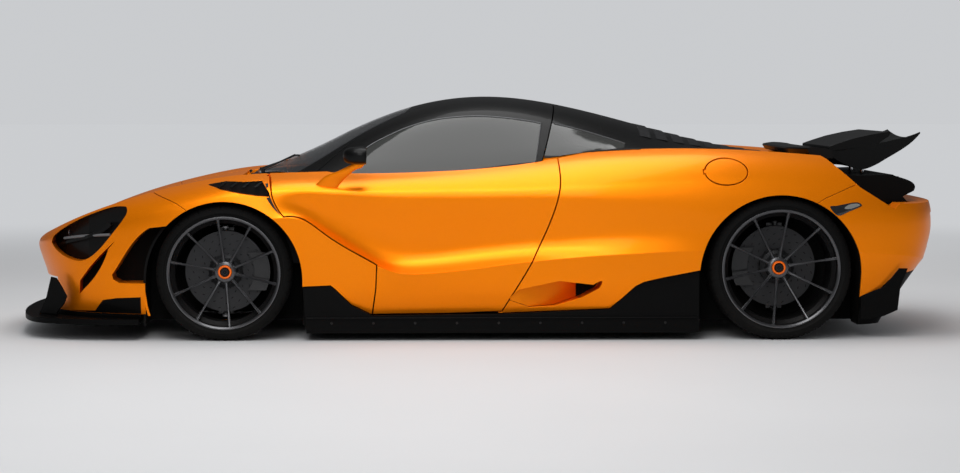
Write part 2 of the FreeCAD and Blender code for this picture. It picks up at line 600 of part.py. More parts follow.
def add_mirror(name, source):
    """The right-hand twin of a left-hand sub-part."""
    twin = doc.addObject("Part::Mirroring", name)
    twin.Label = name
    twin.Source = source
    twin.Base = V(0, 0, 0)
    twin.Normal = V(0, 1, 0)
    made[name] = twin
    return twin


add_mirror("front_fender_right", left_fender)
HOOD_PIN, HOOD_PIN_RADIUS, HOOD_EYE, LUG_Y, LUG_WIDTH = (-1188, 768), 5, 11, 432, 14
hood_lugs = []
hood_posts = []
for side in (-1, 1):
    inner = LUG_Y if side > 0 else -LUG_Y - LUG_WIDTH
    post_inner = LUG_Y + LUG_WIDTH + MOVE if side > 0 else -LUG_Y - LUG_WIDTH - MOVE - 8
    lug = box(-1290, HOOD_PIN[0], inner, inner + LUG_WIDTH, 740, 761)
    lug = lug.fuse(Part.makeCylinder(HOOD_EYE, LUG_WIDTH, fit(HOOD_PIN[0], inner, HOOD_PIN[1]), V(0, 1, 0)))
    hood_lugs.append(lug.common(lowered_top(1)))
    post = box(HOOD_PIN[0] - 8, HOOD_PIN[0] + 8, post_inner, post_inner + 8, TUB_TOP - 10, HOOD_PIN[1])
    post = post.fuse(Part.makeCylinder(10, 8, fit(HOOD_PIN[0], post_inner, HOOD_PIN[1]), V(0, 1, 0)))
    pin_low = min(inner, post_inner) - (4 if side > 0 else 0)
    hood_posts.append(post.fuse(Part.makeCylinder(HOOD_PIN_RADIUS, LUG_WIDTH + MOVE + 12,
                                                  fit(HOOD_PIN[0], pin_low, HOOD_PIN[1]), V(0, 1, 0))))
hood_bore = Part.makeCylinder(HOOD_PIN_RADIUS + SEAT, 1200, fit(HOOD_PIN[0], -600, HOOD_PIN[1]), V(0, 1, 0))
add_feature("hood", largest(largest(hood_piece()).fuse(hood_lugs).cut(hood_bore)))

louvre_slats = []
for slat in range(4):
    start = -1262 + 58 * slat
    louvre_slats.append(side_prism([(start, 738), (start + 30, 762), (start + 38, 757), (start + 8, 733)],
                                   -930, -848))
louvre_tray = side_prism(LOUVRE, -848, -840 - SEAT)
left_vent = largest(louvre_tray.fuse(louvre_slats).common(BODY).common(side_prism(LOUVRE, -OUTSIDE, -840)))
add_feature("fender_vents", Part.makeCompound([left_vent, mirrored(left_vent)]))

LAMP_WALL, LAMP_BLADE_DEPTH = 16, 62
lamp_room = largest(lamp_cut.common(BODY))
lamp_floor = lamp_room.cut(headlight_floor.translated(V(0, -LAMP_WALL, 0)))
lamp_blade = side_prism([[(-2070, 446), (-1990, 474), (-1900, 500), (-1790, 560)], (-1782, 548),
                         [(-1782, 548), (-1896, 484), (-1990, 460), (-2070, 434)]], -OUTSIDE, -400)
lamp_blade = lamp_blade.common(lamp_room).cut(headlight_floor.translated(V(0, -LAMP_BLADE_DEPTH, 0)))
lamp_unit = largest(lamp_floor.fuse(largest(lamp_blade)))
add_feature("headlights", Part.makeCompound([lamp_unit, mirrored(lamp_unit)]))

INTAKE_LINER = 8
duct_liners = []
for outline, inner in ((SIDE_INTAKE, 700), (NOSE_SLOT, 640)):
    liner = side_prism(outline, -inner - INTAKE_LINER, -inner - SEAT).common(BODY).cut(FRONT_WELL)
    duct_liners += [largest(liner), mirrored(largest(liner))]
add_feature("nose_duct_liners", Part.makeCompound(duct_liners))

grille_slab = mouth.common(BODY).common(box(-2010, -1990 - SEAT, -560, 560, 0, 400))
slats = [mouth.common(BODY).common(box(-2040, -2010, -600, 600, z, z + 6)) for z in (172, 200, 228, 256)]
add_feature("front_grille", largest(grille_slab.fuse(slats)))

# Front structure with its open luggage bay, and the cabin tub

LUGGAGE_BAY = (-1850, -1250, 470, 300)
luggage_open = box(LUGGAGE_BAY[0], LUGGAGE_BAY[1], -LUGGAGE_BAY[2], LUGGAGE_BAY[2], LUGGAGE_BAY[3], 900)
front_tub = LUGGAGE_BLOCK.cut(luggage_open)
add_feature("front_tub", largest(largest(front_tub).fuse(hood_posts)))

floor_top = 115 + size("floor_thickness")
sill_inner = size("footwell_half_width") * DRAWN_WIDTH / size("body_width")
tunnel = size("tunnel_half_width") * DRAWN_WIDTH / size("body_width")
tub = box(DASH_PANEL, 500, -TUB_SIDE, TUB_SIDE, 115, CABIN_SILL)
tub = tub.cut(box(CABIN_FRONT, CABIN_REAR, -sill_inner, sill_inner, floor_top, 400))
front_bulkhead = box(DASH_PANEL, CABIN_FRONT, -TUB_SIDE, TUB_SIDE, CABIN_SILL, 700)
rear_bulkhead = box(CABIN_REAR, 500, -690, 690, CABIN_SILL, 760)
wheelhouse = FRONT_HOUSE.common(box(DASH_PANEL, -800, -TUB_SIDE, 0, 115, 690))
tub = tub.fuse([front_bulkhead, rear_bulkhead, wheelhouse, mirrored(wheelhouse),
                box(CABIN_FRONT, CABIN_REAR, -tunnel, tunnel, floor_top, CABIN_SILL)])
tub = tub.cut([FRONT_WELL, mirrored(FRONT_WELL)])
tub = tub.fuse([hinge_bracket, mirrored(hinge_bracket)])
add_feature("cabin_tub", largest(tub))

# Glasshouse: windscreen, roof, side windows and the upper halves of the doors

SCREEN_PLAN = [(-330, 0), [(-338, -120), (-352, -235), (-372, -330)], [(-372, -330), (-560, -470), (-760, -600),
               (-905, -690)], [(-905, -690), (-1010, -520), (-1080, -330), (-1120, 0)]]
screen_column = plan_prism(both(SCREEN_PLAN), 600, 1300)
above_body = box(-1400, 1900, -965, 965, 640, 1400)
engine_cover_plan = plan_prism(both([(600, 0), (600, -700), (1740, -700), (1740, 0)]), 640, 1300)
quarter_cut = side_prism(QUARTER_WINDOW, -OUTSIDE, -200)
window_cut = side_prism(DOOR_WINDOW, -OUTSIDE, -200)

windscreen = GLASS_SHELL.common(screen_column).cut(BODY)
add_feature("windscreen", largest(windscreen))
roof = ROOF_SHELL.common(above_body).cut([BODY, screen_column, UPPER_SPACE, mirrored(UPPER_SPACE), quarter_cut,
                                          mirrored(quarter_cut), engine_cover_plan])
add_feature("roof_frame", largest(roof))
quarter_glass = largest(GLASS_SHELL.common(quarter_cut).cut([BODY, UPPER_SPACE, DOOR_LOWER_SPACE]))
add_feature("quarter_windows", Part.makeCompound([quarter_glass, mirrored(quarter_glass)]))
engine_cover = ROOF_SHELL.common(engine_cover_plan).cut([BODY, quarter_cut, mirrored(quarter_cut)])
add_feature("engine_cover", largest(engine_cover))

door_frame = ROOF_SHELL.common(UPPER).cut([BODY, window_cut])
left_door_frame = add_feature("door_frame_left", largest(door_frame))
add_mirror("door_frame_right", left_door_frame)
door_glass = GLASS_SHELL.common(UPPER).common(window_cut).cut(BODY)
left_door_glass = add_feature("door_glass_left", largest(door_glass))
add_mirror("door_glass_right", left_door_glass)

# Doors: the whole side between fender and rear quarter, as thick as a door

door_waist = UPPER.common(box(-1000, 385, -TUB_SIDE - MOVE - 1, -600, CABIN_WAIST, 900))
door_skin = BODY.common(DOOR_LOWER_PRISM.fuse(door_waist)).cut([SKIRT_BELOW_SPACE, GLASSHOUSE_LINING])
door_skin = largest(largest(door_skin).fuse(hinge_arm()).cut(hinge_space[-2]))
door_skin = door_skin.cut(Part.makeCylinder(HINGE_PIN + SEAT, 80, HINGE_POINT - HINGE_AXIS * 40, HINGE_AXIS))
left_door = add_feature("door_skin_left", largest(door_skin))
add_mirror("door_skin_right", left_door)

# Rear quarters, bumper and tail

FLAP_CENTRE, FLAP_POCKET = (1174, 807), 815


def flap_outline(grow=0.0):
    """The fuel flap's oval, seen from the side."""
    edge = Part.Ellipse(fit(FLAP_CENTRE[0], 0, FLAP_CENTRE[1]), size("fuel_flap_length") / 2 + grow,
                        size("fuel_flap_height") / 2 + grow).toShape()
    edge.rotate(fit(FLAP_CENTRE[0], 0, FLAP_CENTRE[1]), V(1, 0, 0), 90)
    return Part.Face(Part.Wire([edge]))


def oval_prism(inner, outer, grow=0.0):
    """The fuel flap's oval pulled across the car between two drawn Y."""
    face = flap_outline(grow)
    face.translate(V(0, fit_y(inner), 0))
    return face.extrude(V(0, fit_y(outer) - fit_y(inner), 0))


def skin_point(x, z):
    """The point of the left side's skin at a drawn X and Z."""
    line = Part.LineSegment(fit(x, -OUTSIDE, z), fit(x, -500, z)).toShape().common(BODY)
    return min((vertex.Point for vertex in line.Vertexes), key=lambda point: point.y)


flap_edge = FLAP_CENTRE[0] - size("fuel_flap_length") / 2 - 3
flap_low, flap_high = skin_point(flap_edge, FLAP_CENTRE[1] - 15), skin_point(flap_edge, FLAP_CENTRE[1] + 15)
FLAP_AXIS = flap_high - flap_low
FLAP_AXIS.normalize()
FLAP_HINGE = (flap_low + flap_high) * 0.5 + V(0, 4, -3)
flap_relief = rod(FLAP_HINGE - FLAP_AXIS * 17, FLAP_HINGE + FLAP_AXIS * 17, 10)
flap_pin = rod(FLAP_HINGE - FLAP_AXIS * 24, FLAP_HINGE + FLAP_AXIS * 24, 2)

rear_zone = box(80, 2400, -OUTSIDE, 0, 60, 1100)
deck_room = box(1590, 1950, -640 - SEAT, 0, 630, 900)
tail_above = side_prism(TAIL_SLOPE + [(2400, 1200), (1500, 1200), (1500, 1000)], -OUTSIDE, 0)
bumper_zone = side_prism(REAR_BUMPER_FRONT + [(2500, 800), (2500, 0)], -OUTSIDE, 0)
bumper_zone_gap = side_prism(REAR_BUMPER_FRONT + [(2500, 800), (2500, 0)], -OUTSIDE, 0, GAP)
diffuser_zone = side_prism(DIFFUSER_LINE + [(2400, 0), (1760, 0)], -OUTSIDE, 0)
diffuser_zone_gap = side_prism(DIFFUSER_LINE + [(2400, 0), (1760, 0)], -OUTSIDE, 0, GAP)
engine_bay = box(CABIN_REAR - 40, 1900, -600, 0, 0, 800)
side_vent = side_prism([(181, 245), (371, 286), [(533, 268), (575, 284), (560, 250)], (475, 205), (348, 166),
                        (229, 159), (119, 197)], -OUTSIDE, -790)
quarter = BODY.common(rear_zone).cut([DOOR_LOWER_SPACE, SKIRT_BELOW_GAP, REAR_WELL, engine_bay, GLASSHOUSE_LINING,
                                      tail_above, bumper_zone_gap, side_vent, BEHIND_DOOR_SILL,
                                      UPPER_SPACE.common(box(-500, 420, -1100, 0, 600, 1400)),
                                      oval_prism(-OUTSIDE, -FLAP_POCKET, MOVE), deck_room, flap_relief])
left_quarter = add_feature("rear_quarter_left", largest(largest(quarter).fuse(flap_pin)))
add_mirror("rear_quarter_right", left_quarter)
flap_skin = BODY.common(oval_prism(-OUTSIDE, -600))
flap = largest(flap_skin.cut(flap_skin.translated(V(0, size("flap_thickness"), 0))))
flap_eye = rod(FLAP_HINGE - FLAP_AXIS * 8, FLAP_HINGE + FLAP_AXIS * 8, 4.5)
flap_strap = rod(FLAP_HINGE, FLAP_HINGE + V(22, -1, 0), 3)
flap = flap.fuse([flap_eye, flap_strap]).cut(rod(FLAP_HINGE - FLAP_AXIS * 30, FLAP_HINGE + FLAP_AXIS * 30, 2 + SEAT))
add_feature("fuel_flap", largest(flap))

tail_inner = box(1500, 2110, -700, 0, 60, 900)
grille_cut = box(2090, 2400, -660, 0, 430, 600)
bumper_left = BODY.common(bumper_zone).cut([tail_above, diffuser_zone_gap, REAR_WELL, tail_inner, grille_cut])
bumper_left = largest(bumper_left)
rear_bumper = bumper_left.fuse(mirrored(bumper_left))
add_feature("rear_bumper", largest(rear_bumper))

deck_profile = [(1600, 800), (1853, 779), (2029, 784), [(2029, 784), (2105, 757), (2137, 730), (2131, 704)],
                (2078, 677), (2109, 640), (1600, 640)]
deck = side_prism(deck_profile, -640, 640)
add_feature("tail_deck", largest(deck))

diffuser_left = BODY.common(diffuser_zone).cut([REAR_WELL, box(1400, 1830, -1000, 0, 0, 400)])
channels = []
fins = int(size("diffuser_fins"))
for channel in range(fins // 2):
    inner = -60 - channel * 190
    channels.append(side_prism([(1800, 40), (2400, 40), (2400, 290), (1800, 120)], inner - 180, inner))
diffuser_left = largest(diffuser_left.cut(channels))
add_feature("diffuser", largest(diffuser_left.fuse(mirrored(diffuser_left))))

# Sills, splitter and other black trim

skirt_profile = SKIRT_LINE[:-1] + [(1044, 334), (1062, 110), (1040, 36), (-840, 36)]
skirt = side_prism(skirt_profile, -938, -TUB_SIDE - SEAT).cut([REAR_WELL, FRONT_WELL])
skirt = largest(skirt)
add_feature("side_skirts", Part.makeCompound([skirt, mirrored(skirt)]))

splitter_plan = both([[(-2283, 0), (-2278, -200), (-2255, -420), (-2214, -620), (-2150, -760), (-2040, -850),
                      (-1880, -905), (-1700, -930)], (-1640, -935), (-1640, -540), (-1900, -520), (-1900, 0)])
splitter = plan_prism(splitter_plan, 78, 104)
riser = plan_prism(both([[(-2150, 0), (-2140, -300), (-2080, -560), (-1950, -730), (-1790, -815), (-1640, -840)],
                         (-1640, -540), (-1900, -520), (-1900, 0)]), 104, 126 - SEAT)
add_feature("front_splitter", largest(splitter.fuse(riser).cut(LUGGAGE_BLOCK_GAP)))


class Linked:
    """A number that remembers how it follows from the sheet's cells."""

    def __init__(self, value, text):
        self.value = value
        self.text = text

    def join(self, other, sign, value):
        """A new linked number from this one and another number or linked number."""
        return Linked(value, "(%s %s %s)" % (self.text, sign, other.text if isinstance(other, Linked) else other))

    def __add__(self, other):
        return self.join(other, "+", self.value + plain(other))

    def __sub__(self, other):
        return self.join(other, "-", self.value - plain(other))

    def __mul__(self, other):
        return self.join(other, "*", self.value * plain(other))

    def __truediv__(self, other):
        return self.join(other, "/", self.value / plain(other))


def plain(number):
    """The value of a plain or linked number."""
    return number.value if isinstance(number, Linked) else number


def cell(alias):
    """A sheet cell as a linked number."""
    return Linked(size(alias), "sizes." + alias)


def bind(item, **sizes):
    """Set properties of an object, following the sheet where the numbers are linked."""
    for name, number in sizes.items():
        setattr(item, name, plain(number))
        if isinstance(number, Linked):
            item.setExpression(name, number.text)
    return item


def new_body(name):
    """An empty design body with its own label."""
    body = doc.addObject("PartDesign::Body", name)
    body.Label = name
    made[name] = body
    return body


def origin_plane(body, role):
    """One of a body's own origin planes or axes."""
    return next(item for item in body.Origin.OriginFeatures if item.Role == role)


def outline_sketch(body, name, role, corners):
    """A closed sketch of straight sides whose corners follow the sheet."""
    sketch = body.newObject("Sketcher::SketchObject", name)
    sketch.AttachmentSupport = [(origin_plane(body, role), "")]
    sketch.MapMode = "FlatFace"
    points = [V(plain(x), plain(y), 0) for x, y in corners]
    count = len(points)
    for index, point in enumerate(points):
        sketch.addGeometry(Part.LineSegment(point, points[(index + 1) % count]), False)
    for index in range(count):
        sketch.addConstraint(Sketcher.Constraint("Coincident", index, 2, (index + 1) % count, 1))
    for index, (x, y) in enumerate(corners):
        for kind, number in (("DistanceX", x), ("DistanceY", y)):
            if plain(number) == 0:
                axis = -2 if kind == "DistanceX" else -1
                sketch.addConstraint(Sketcher.Constraint("PointOnObject", index, 1, axis))
                continue
            place = sketch.addConstraint(Sketcher.Constraint(kind, -1, 1, index, 1, plain(number)))
            if isinstance(number, Linked):
                sketch.setExpression("Constraints[%d]" % place, number.text)
    return sketch


def revolve(body, name, corners):
    """A profile in the body's XZ plane turned round its Z axis."""
    sketch = outline_sketch(body, name + "_profile", "XZ_Plane", corners)
    turn = body.newObject("PartDesign::Revolution", name)
    turn.Profile = sketch
    turn.ReferenceAxis = (sketch, ["V_Axis"])
    turn.Angle = 360
    return turn


def wheel_placement(axle, y, radius, right, inner):
    """Puts a wheel part, drawn outward from its tyre's inner face, on its axle."""
    side = 1 if right else -1
    turn = FreeCAD.Rotation(V(1, 0, 0), -90 if right else 90)
    return FreeCAD.Placement(V(axle, side * (y - inner), radius), turn)


TYRE_WALL, BEAD, FLANGE = 14, 16, 10
HUB_DEPTH, HUB_RADIUS, SPOKE_FOOT = 128, 62, 22


def make_tyre(name, radius, width, rim, place):
    """A hollow tyre with rounded shoulders."""
    body = new_body(name)
    revolve(body, name + "_carcass", [
        (rim, width - width + BEAD), (rim + 22, 5), (radius - 44, 1), (radius - 12, 16), (radius, 40),
        (radius, width - 40), (radius - 12, width - 16), (radius - 44, width - 1), (rim + 22, width - 5),
        (rim, width - BEAD), (rim, width - BEAD - 22), (radius - TYRE_WALL - 30, width - 18),
        (radius - TYRE_WALL, width - 46), (radius - TYRE_WALL, 46), (radius - TYRE_WALL - 30, 18),
        (rim, BEAD + 22)])
    body.Placement = place
    return body


def make_rim(name, width, rim, place):
    """A deep dished rim with thin spokes and a centre-lock hub."""
    body = new_body(name)
    seat = rim - 0.3
    wall = cell("rim_wall")
    bore = cell("hub_bore") / 2
    revolve(body, name + "_barrel", [
        (seat, BEAD), (seat, 46), (seat - 20, 62), (seat - 20, width - 64), (seat, width - 46),
        (seat, width - BEAD), (seat + FLANGE, width - BEAD + 6), (seat + FLANGE, width - 4), (seat, width - 3),
        (seat - wall, width - 8),
        (seat - 34, width - 34), (seat - 80, width - 78), (HUB_RADIUS + 40, width - HUB_DEPTH + 10),
        (HUB_RADIUS, width - HUB_DEPTH + 12), (HUB_RADIUS - 14, width - HUB_DEPTH + 30),
        (HUB_RADIUS - 34, width - HUB_DEPTH + 30), (HUB_RADIUS - 34, width - HUB_DEPTH + 12),
        (0, width - HUB_DEPTH + 12), (0, width - HUB_DEPTH + 2), (bore, width - HUB_DEPTH + 2),
        (bore, width - HUB_DEPTH - 22), (HUB_RADIUS, width - HUB_DEPTH - 22), (HUB_RADIUS + 40, width - HUB_DEPTH - 10),
        (seat - 80, width - 96), (seat - 38, width - 62),
        (seat - 20 - wall, width - 72), (seat - 20 - wall, 58), (seat - wall, 42), (seat - wall, BEAD - 6),
        (seat + FLANGE, BEAD - 12), (seat + FLANGE, BEAD - 6)])
    count = size("spoke_count")
    step = 2 * math.pi / count
    reach = plain(seat) - 36
    window = []
    for r, half in ((HUB_RADIUS + 12, 11), (reach * 0.97, 9)):
        window.append((r * math.cos(math.asin(half / r)), r * math.asin(half / r)))
    (foot_x, foot_y), (tip_x, tip_y) = window
    turned = [(math.hypot(x, y), step - math.atan2(y, x)) for x, y in (window[1], window[0])]
    corners = [(foot_x, foot_y), (tip_x, tip_y), (reach * math.cos(step / 2), reach * math.sin(step / 2))]
    corners += [(r * math.cos(a), r * math.sin(a)) for r, a in turned]
    sketch = outline_sketch(body, name + "_window", "XY_Plane", corners)
    pocket = body.newObject("PartDesign::Pocket", name + "_gap")
    pocket.Profile = sketch
    pocket.Type = "ThroughAll"
    pocket.Reversed = True
    pattern = body.newObject("PartDesign::PolarPattern", name + "_spokes")
    pattern.Originals = [pocket]
    pattern.Axis = (origin_plane(body, "Z_Axis"), [""])
    pattern.Angle = 360
    pattern.Occurrences = int(count)
    pattern.setExpression("Occurrences", "sizes.spoke_count")
    body.Tip = pattern
    body.Placement = place
    return body


DISC_INNER_FACE, BELL_RADIUS, BELL_WALL = 42, 82, 8


def make_disc(name, width, place):
    """A brake disc with a bell that reaches the rim's hub."""
    body = new_body(name)
    disc = cell("disc_radius")
    thick = cell("disc_thickness")
    bore = cell("hub_bore") / 2
    back = thick + DISC_INNER_FACE
    face = width - HUB_DEPTH - 22
    revolve(body, name + "_section", [
        (disc, DISC_INNER_FACE), (disc, back), (BELL_RADIUS, back), (BELL_RADIUS, face - 10), (BELL_RADIUS - 16, face),
        (bore, face), (bore, face - BELL_WALL), (BELL_RADIUS - 18, face - BELL_WALL),
        (BELL_RADIUS - BELL_WALL, face - BELL_WALL - 10), (BELL_RADIUS - BELL_WALL, DISC_INNER_FACE)])
    body.Placement = place
    return body


for end, axle, wheel_y in (("front", FRONT_AXLE, front_wheel_y), ("rear", REAR_AXLE, rear_wheel_y)):
    tyre_radius, tyre_width = cell(end + "_tyre_radius"), cell(end + "_tyre_width")
    for side in ("left", "right"):
        place = wheel_placement(axle, wheel_y, tyre_radius.value, side == "right", tyre_width.value / 2)
        make_tyre("tyre_%s_%s" % (end, side), tyre_radius, tyre_width, cell(end + "_rim_radius"), place)
        make_rim("rim_%s_%s" % (end, side), tyre_width, cell(end + "_rim_radius"), place)
        make_disc("brake_disc_%s_%s" % (end, side), tyre_width, place)
doc.recompute()


# Knuckles, uprights, calipers and the arms that carry them

PIN_RADIUS, EYE_RADIUS, ARM_RADIUS, FORK_REACH = 9, 17, 4, 132
JOINT_REACH = 17
CALIPER_CLEAR, CALIPER_WALL, CALIPER_DEPTH = 6, 20, 76


def caliper(axle, face, radius, behind):
    """A brake caliper over the left disc, on the rear or front side of the hub."""
    disc, thick = size("disc_radius"), size("disc_thickness")
    outer = disc + CALIPER_CLEAR + 14
    inner_y = face + DISC_INNER_FACE - CALIPER_CLEAR - CALIPER_WALL
    width = thick + 2 * CALIPER_CLEAR + 2 * CALIPER_WALL
    ring = Part.makeCylinder(outer, width, V(axle, -inner_y, radius), V(0, -1, 0))
    ring = ring.cut(Part.makeCylinder(outer - CALIPER_DEPTH, width, V(axle, -inner_y, radius), V(0, -1, 0)))
    groove = Part.makeCylinder(disc + CALIPER_CLEAR, thick + 2 * CALIPER_CLEAR,
                               V(axle, -inner_y - CALIPER_WALL, radius), V(0, -1, 0))
    side = 1 if behind else -1
    corner = V(axle + side * (outer * 0.42), -inner_y - width - 1, radius - 92)
    if side < 0:
        corner.x -= outer
    keep = Part.makeBox(outer, width + 2, 184, corner)
    return ring.cut(groove).common(keep)


def upright(axle, y, width, radius, pin_y, rear):
    """A left wheel's carrier: spindle, plate, joints above and below, and the caliper's bracket."""
    face = y - width / 2
    disc_face = face + DISC_INNER_FACE
    plate_out = disc_face - CALIPER_CLEAR - 2
    plate_in = plate_out - 34
    reach = size("disc_radius") + JOINT_REACH
    spindle_end = y + width / 2 - HUB_DEPTH - 4
    spindle = Part.makeCylinder(size("hub_bore") / 2 - SEAT, spindle_end - plate_in, V(axle, -plate_in, radius),
                                V(0, -1, 0))
    plate = Part.makeBox(76, plate_out - plate_in, 2 * reach - 6, V(axle - 38, -plate_out, radius - reach + 3))
    plate = plate.fuse(Part.makeCylinder(74, plate_out - plate_in, V(axle, -plate_in, radius), V(0, -1, 0)))
    parts = [plate, spindle]
    for side in (-1, 1):
        z = radius + side * reach
        parts.append(Part.makeBox(28, pin_y - plate_in, 9, V(axle - 14, -pin_y, z + (-12 if side > 0 else 3))))
        parts.append(Part.makeCylinder(14, 9, V(axle, -pin_y, z + (-12 if side > 0 else 3))))
        parts.append(Part.makeCylinder(PIN_RADIUS, 20, V(axle, -pin_y, z - 12 if side > 0 else z - 8)))
    grip = caliper(axle, face, radius, not rear)
    span = size("disc_radius") + CALIPER_CLEAR + 14 - CALIPER_DEPTH + 24
    corner = V(axle - (span if rear else 0), -plate_out, radius - 30)
    bracket = Part.makeBox(span, plate_out - plate_in, 60, corner)
    return plate.fuse(parts[1:] + [bracket, grip])


front_pin_y = front_wheel_y - size("kingpin_inset")
rear_pin_y = rear_wheel_y - size("rear_tyre_width") / 2 + 60
knuckle = upright(FRONT_AXLE, front_wheel_y, size("front_tyre_width"), size("front_tyre_radius"),
                  front_pin_y, False)
carrier = upright(REAR_AXLE, rear_wheel_y, size("rear_tyre_width"), size("rear_tyre_radius"), rear_pin_y, True)
left_knuckle = add_feature("front_knuckle_left", largest(knuckle))
add_mirror("front_knuckle_right", left_knuckle)


def wishbones(axle, radius, pin_y, root_y, spread):
    """The upper and lower arms of a left wheel, each with an eye round the knuckle's pin."""
    reach = size("disc_radius") + JOINT_REACH
    arms = []
    for side in (-1, 1):
        z = radius + side * reach
        eye_low = z - 3 + SEAT if side > 0 else z - 6 - SEAT
        eye = Part.makeCylinder(EYE_RADIUS, 9, V(axle, -pin_y, eye_low))
        eye_z = eye_low + 4.5 + side * 0.3
        fork = V(axle, -pin_y + FORK_REACH, eye_z)
        legs = [rod(V(axle, -pin_y + 12, eye_z), fork, ARM_RADIUS), Part.makeSphere(ARM_RADIUS + 1.5, fork)]
        for lean in (-1, 1):
            legs.append(rod(fork, V(axle + lean * spread, -root_y - SEAT, eye_z), ARM_RADIUS))
        arm = eye.fuse(legs).cut(Part.makeBox(4 * spread, 100, 4 * radius, V(axle - 2 * spread, -root_y - SEAT, 0)))
        hole = Part.makeCylinder(PIN_RADIUS + SEAT, 40, V(axle, -pin_y, eye_low - 15))
        arms.append(largest(arm.cut(hole)))
    return arms


ENGINE_FRAME = (1180, 1700, 330)
front_arms = wishbones(FRONT_AXLE, size("front_tyre_radius"), front_pin_y,
                       fit_y(TUB_HALF), 150)
rear_root = fit_y(ENGINE_FRAME[2])
rear_arms = wishbones(REAR_AXLE, size("rear_tyre_radius"), rear_pin_y, rear_root, 170)
rear_carrier = largest(carrier)
add_feature("suspension_arms", Part.makeCompound(front_arms + [mirrored(arm) for arm in front_arms]))
rear_left = [rear_carrier] + rear_arms
add_feature("rear_suspension", Part.makeCompound(rear_left + [mirrored(piece) for piece in rear_left]))

# Engine, its frame, and the exhaust

engine_low = 138 + SEAT
engine = Part.makeBox(size("engine_length"), size("engine_width"), size("engine_height"),
                      V(fit_x(560), -size("engine_width") / 2, fit_z(engine_low)))
add_feature("engine", engine)
frame_front, frame_rear, frame_half = ENGINE_FRAME
rear_frame = box(500 + SEAT, 1830 - SEAT, -frame_half, frame_half, 118, 138)
gearbox = box(frame_front + 8, frame_rear, -frame_half, frame_half, 138, 600)
crash_beam = box(frame_rear - 10, 2110 - SEAT, -280, 280, 345, 425)
rear_frame = rear_frame.fuse([gearbox, crash_beam, box(1600, 1720, -599, 599, 560, 640 - SEAT)])
rear_frame = rear_frame.cut([REAR_WELL, mirrored(REAR_WELL)])
add_feature("rear_frame", largest(rear_frame))

EXHAUST_SPREAD, EXHAUST_Z, EXHAUST_TIP = 95, 712, 2160
pipe_radius = size("exhaust_diameter") / 2
pipes = []
pipe_holes = []
for y in (-EXHAUST_SPREAD, EXHAUST_SPREAD):
    start = V(fit_x(1725), y, fit_z(EXHAUST_Z))
    run = fit_x(EXHAUST_TIP) - start.x
    outer = Part.makeCylinder(pipe_radius, run, start, V(1, 0, 0))
    bore = Part.makeCylinder(pipe_radius - size("exhaust_wall"), run, start + V(60, 0, 0), V(1, 0, 0))
    pipes.append(outer.cut(bore))
    pipe_holes.append(Part.makeCylinder(pipe_radius + SEAT, 200, start - V(100, 0, 0), V(1, 0, 0)))
    pipe_holes.append(Part.makeCylinder(pipe_radius + GAP, run, start + V(90, 0, 0), V(1, 0, 0)))
add_feature("exhausts", Part.makeCompound(pipes))

# Rear wing on its two rods, and the fixed spoiler ahead of it

WING_TIP = [[(1741, 893), (1860, 906), (1960, 926), (2060, 948), (2140, 968), (2202, 991)],
            [(2204, 984), (2150, 930), (2074, 880), (1997, 834)], [(1997, 834), (1950, 812), (1912, 803),
            (1860, 815), (1800, 842), (1741, 884)]]
WING_MIDDLE = [[(1741, 893), (1860, 903), (1960, 917), (2060, 932), (2140, 945), (2202, 958)],
               [(2204, 951), (2150, 905), (2074, 866), (1997, 834)], [(1997, 834), (1950, 815), (1912, 810),
               (1860, 819), (1800, 845), (1741, 884)]]
span_half = size("wing_span") / 2
wing_wires = []
for y, outline in ((-span_half, WING_TIP), (0, WING_MIDDLE), (span_half, WING_TIP)):
    wire = side_wire(outline)
    wire.translate(V(0, y, 0))
    wing_wires.append(wire)
wing = Part.makeLoft(wing_wires, True, False)
ROD_X, ROD_Y, ROD_FOOT = 1960, 166, 770
rods = [rod(fit(ROD_X, y, ROD_FOOT), fit(ROD_X, y, 835), size("rod_diameter") / 2) for y in (-ROD_Y, ROD_Y)]
WING_PIVOT, WING_PIN, PLATE_Y, PLATE_WIDTH = (1765, 880), 4, 296, 8
plates = []
notches = []
for side in (-1, 1):
    inner = PLATE_Y if side > 0 else -PLATE_Y - PLATE_WIDTH
    plate = box(WING_PIVOT[0] - 14, WING_PIVOT[0] + 10, inner, inner + PLATE_WIDTH, 740, WING_PIVOT[1])
    plate = plate.fuse(Part.makeCylinder(9, PLATE_WIDTH, fit(WING_PIVOT[0], inner, WING_PIVOT[1]), V(0, 1, 0)))
    pin = Part.makeCylinder(WING_PIN, PLATE_WIDTH + 28, fit(WING_PIVOT[0], inner - 14, WING_PIVOT[1]), V(0, 1, 0))
    plates.append(plate.fuse(pin))
    notches.append(box(1700, WING_PIVOT[0] + 22, inner - MOVE, inner + PLATE_WIDTH + MOVE, 800, 940))
wing_bore = Part.makeCylinder(WING_PIN + SEAT, 700, fit(WING_PIVOT[0], -350, WING_PIVOT[1]), V(0, 1, 0))
add_feature("rear_wing", largest(wing.fuse(rods).cut(notches + [wing_bore])))

spoiler_profile = [[(1490, 908), (1588, 905), (1660, 906), (1732, 898)], (1732, 872), [(1660, 872), (1580, 880),
                   (1490, 893)]]
deck_wide = 640
spoiler = side_prism(spoiler_profile, -deck_wide, deck_wide)
feet = [side_prism([(1500, 894), (1700, 876), (1700, 830), (1500, 850)], *ends) for ends in ((-640, -610), (610, 640))]
spoiler = spoiler.fuse(feet)
spoiler = spoiler.cut([BODY, GLASSHOUSE_OUTER])
add_feature("rear_spoiler", largest(spoiler))

sockets = [Part.makeCylinder(34, 90, fit(ROD_X - 6, y, 720)) for y in (-ROD_Y, ROD_Y)]
made["tail_deck"].Shape = largest(deck.cut(pipe_holes + sockets).fuse(plates))

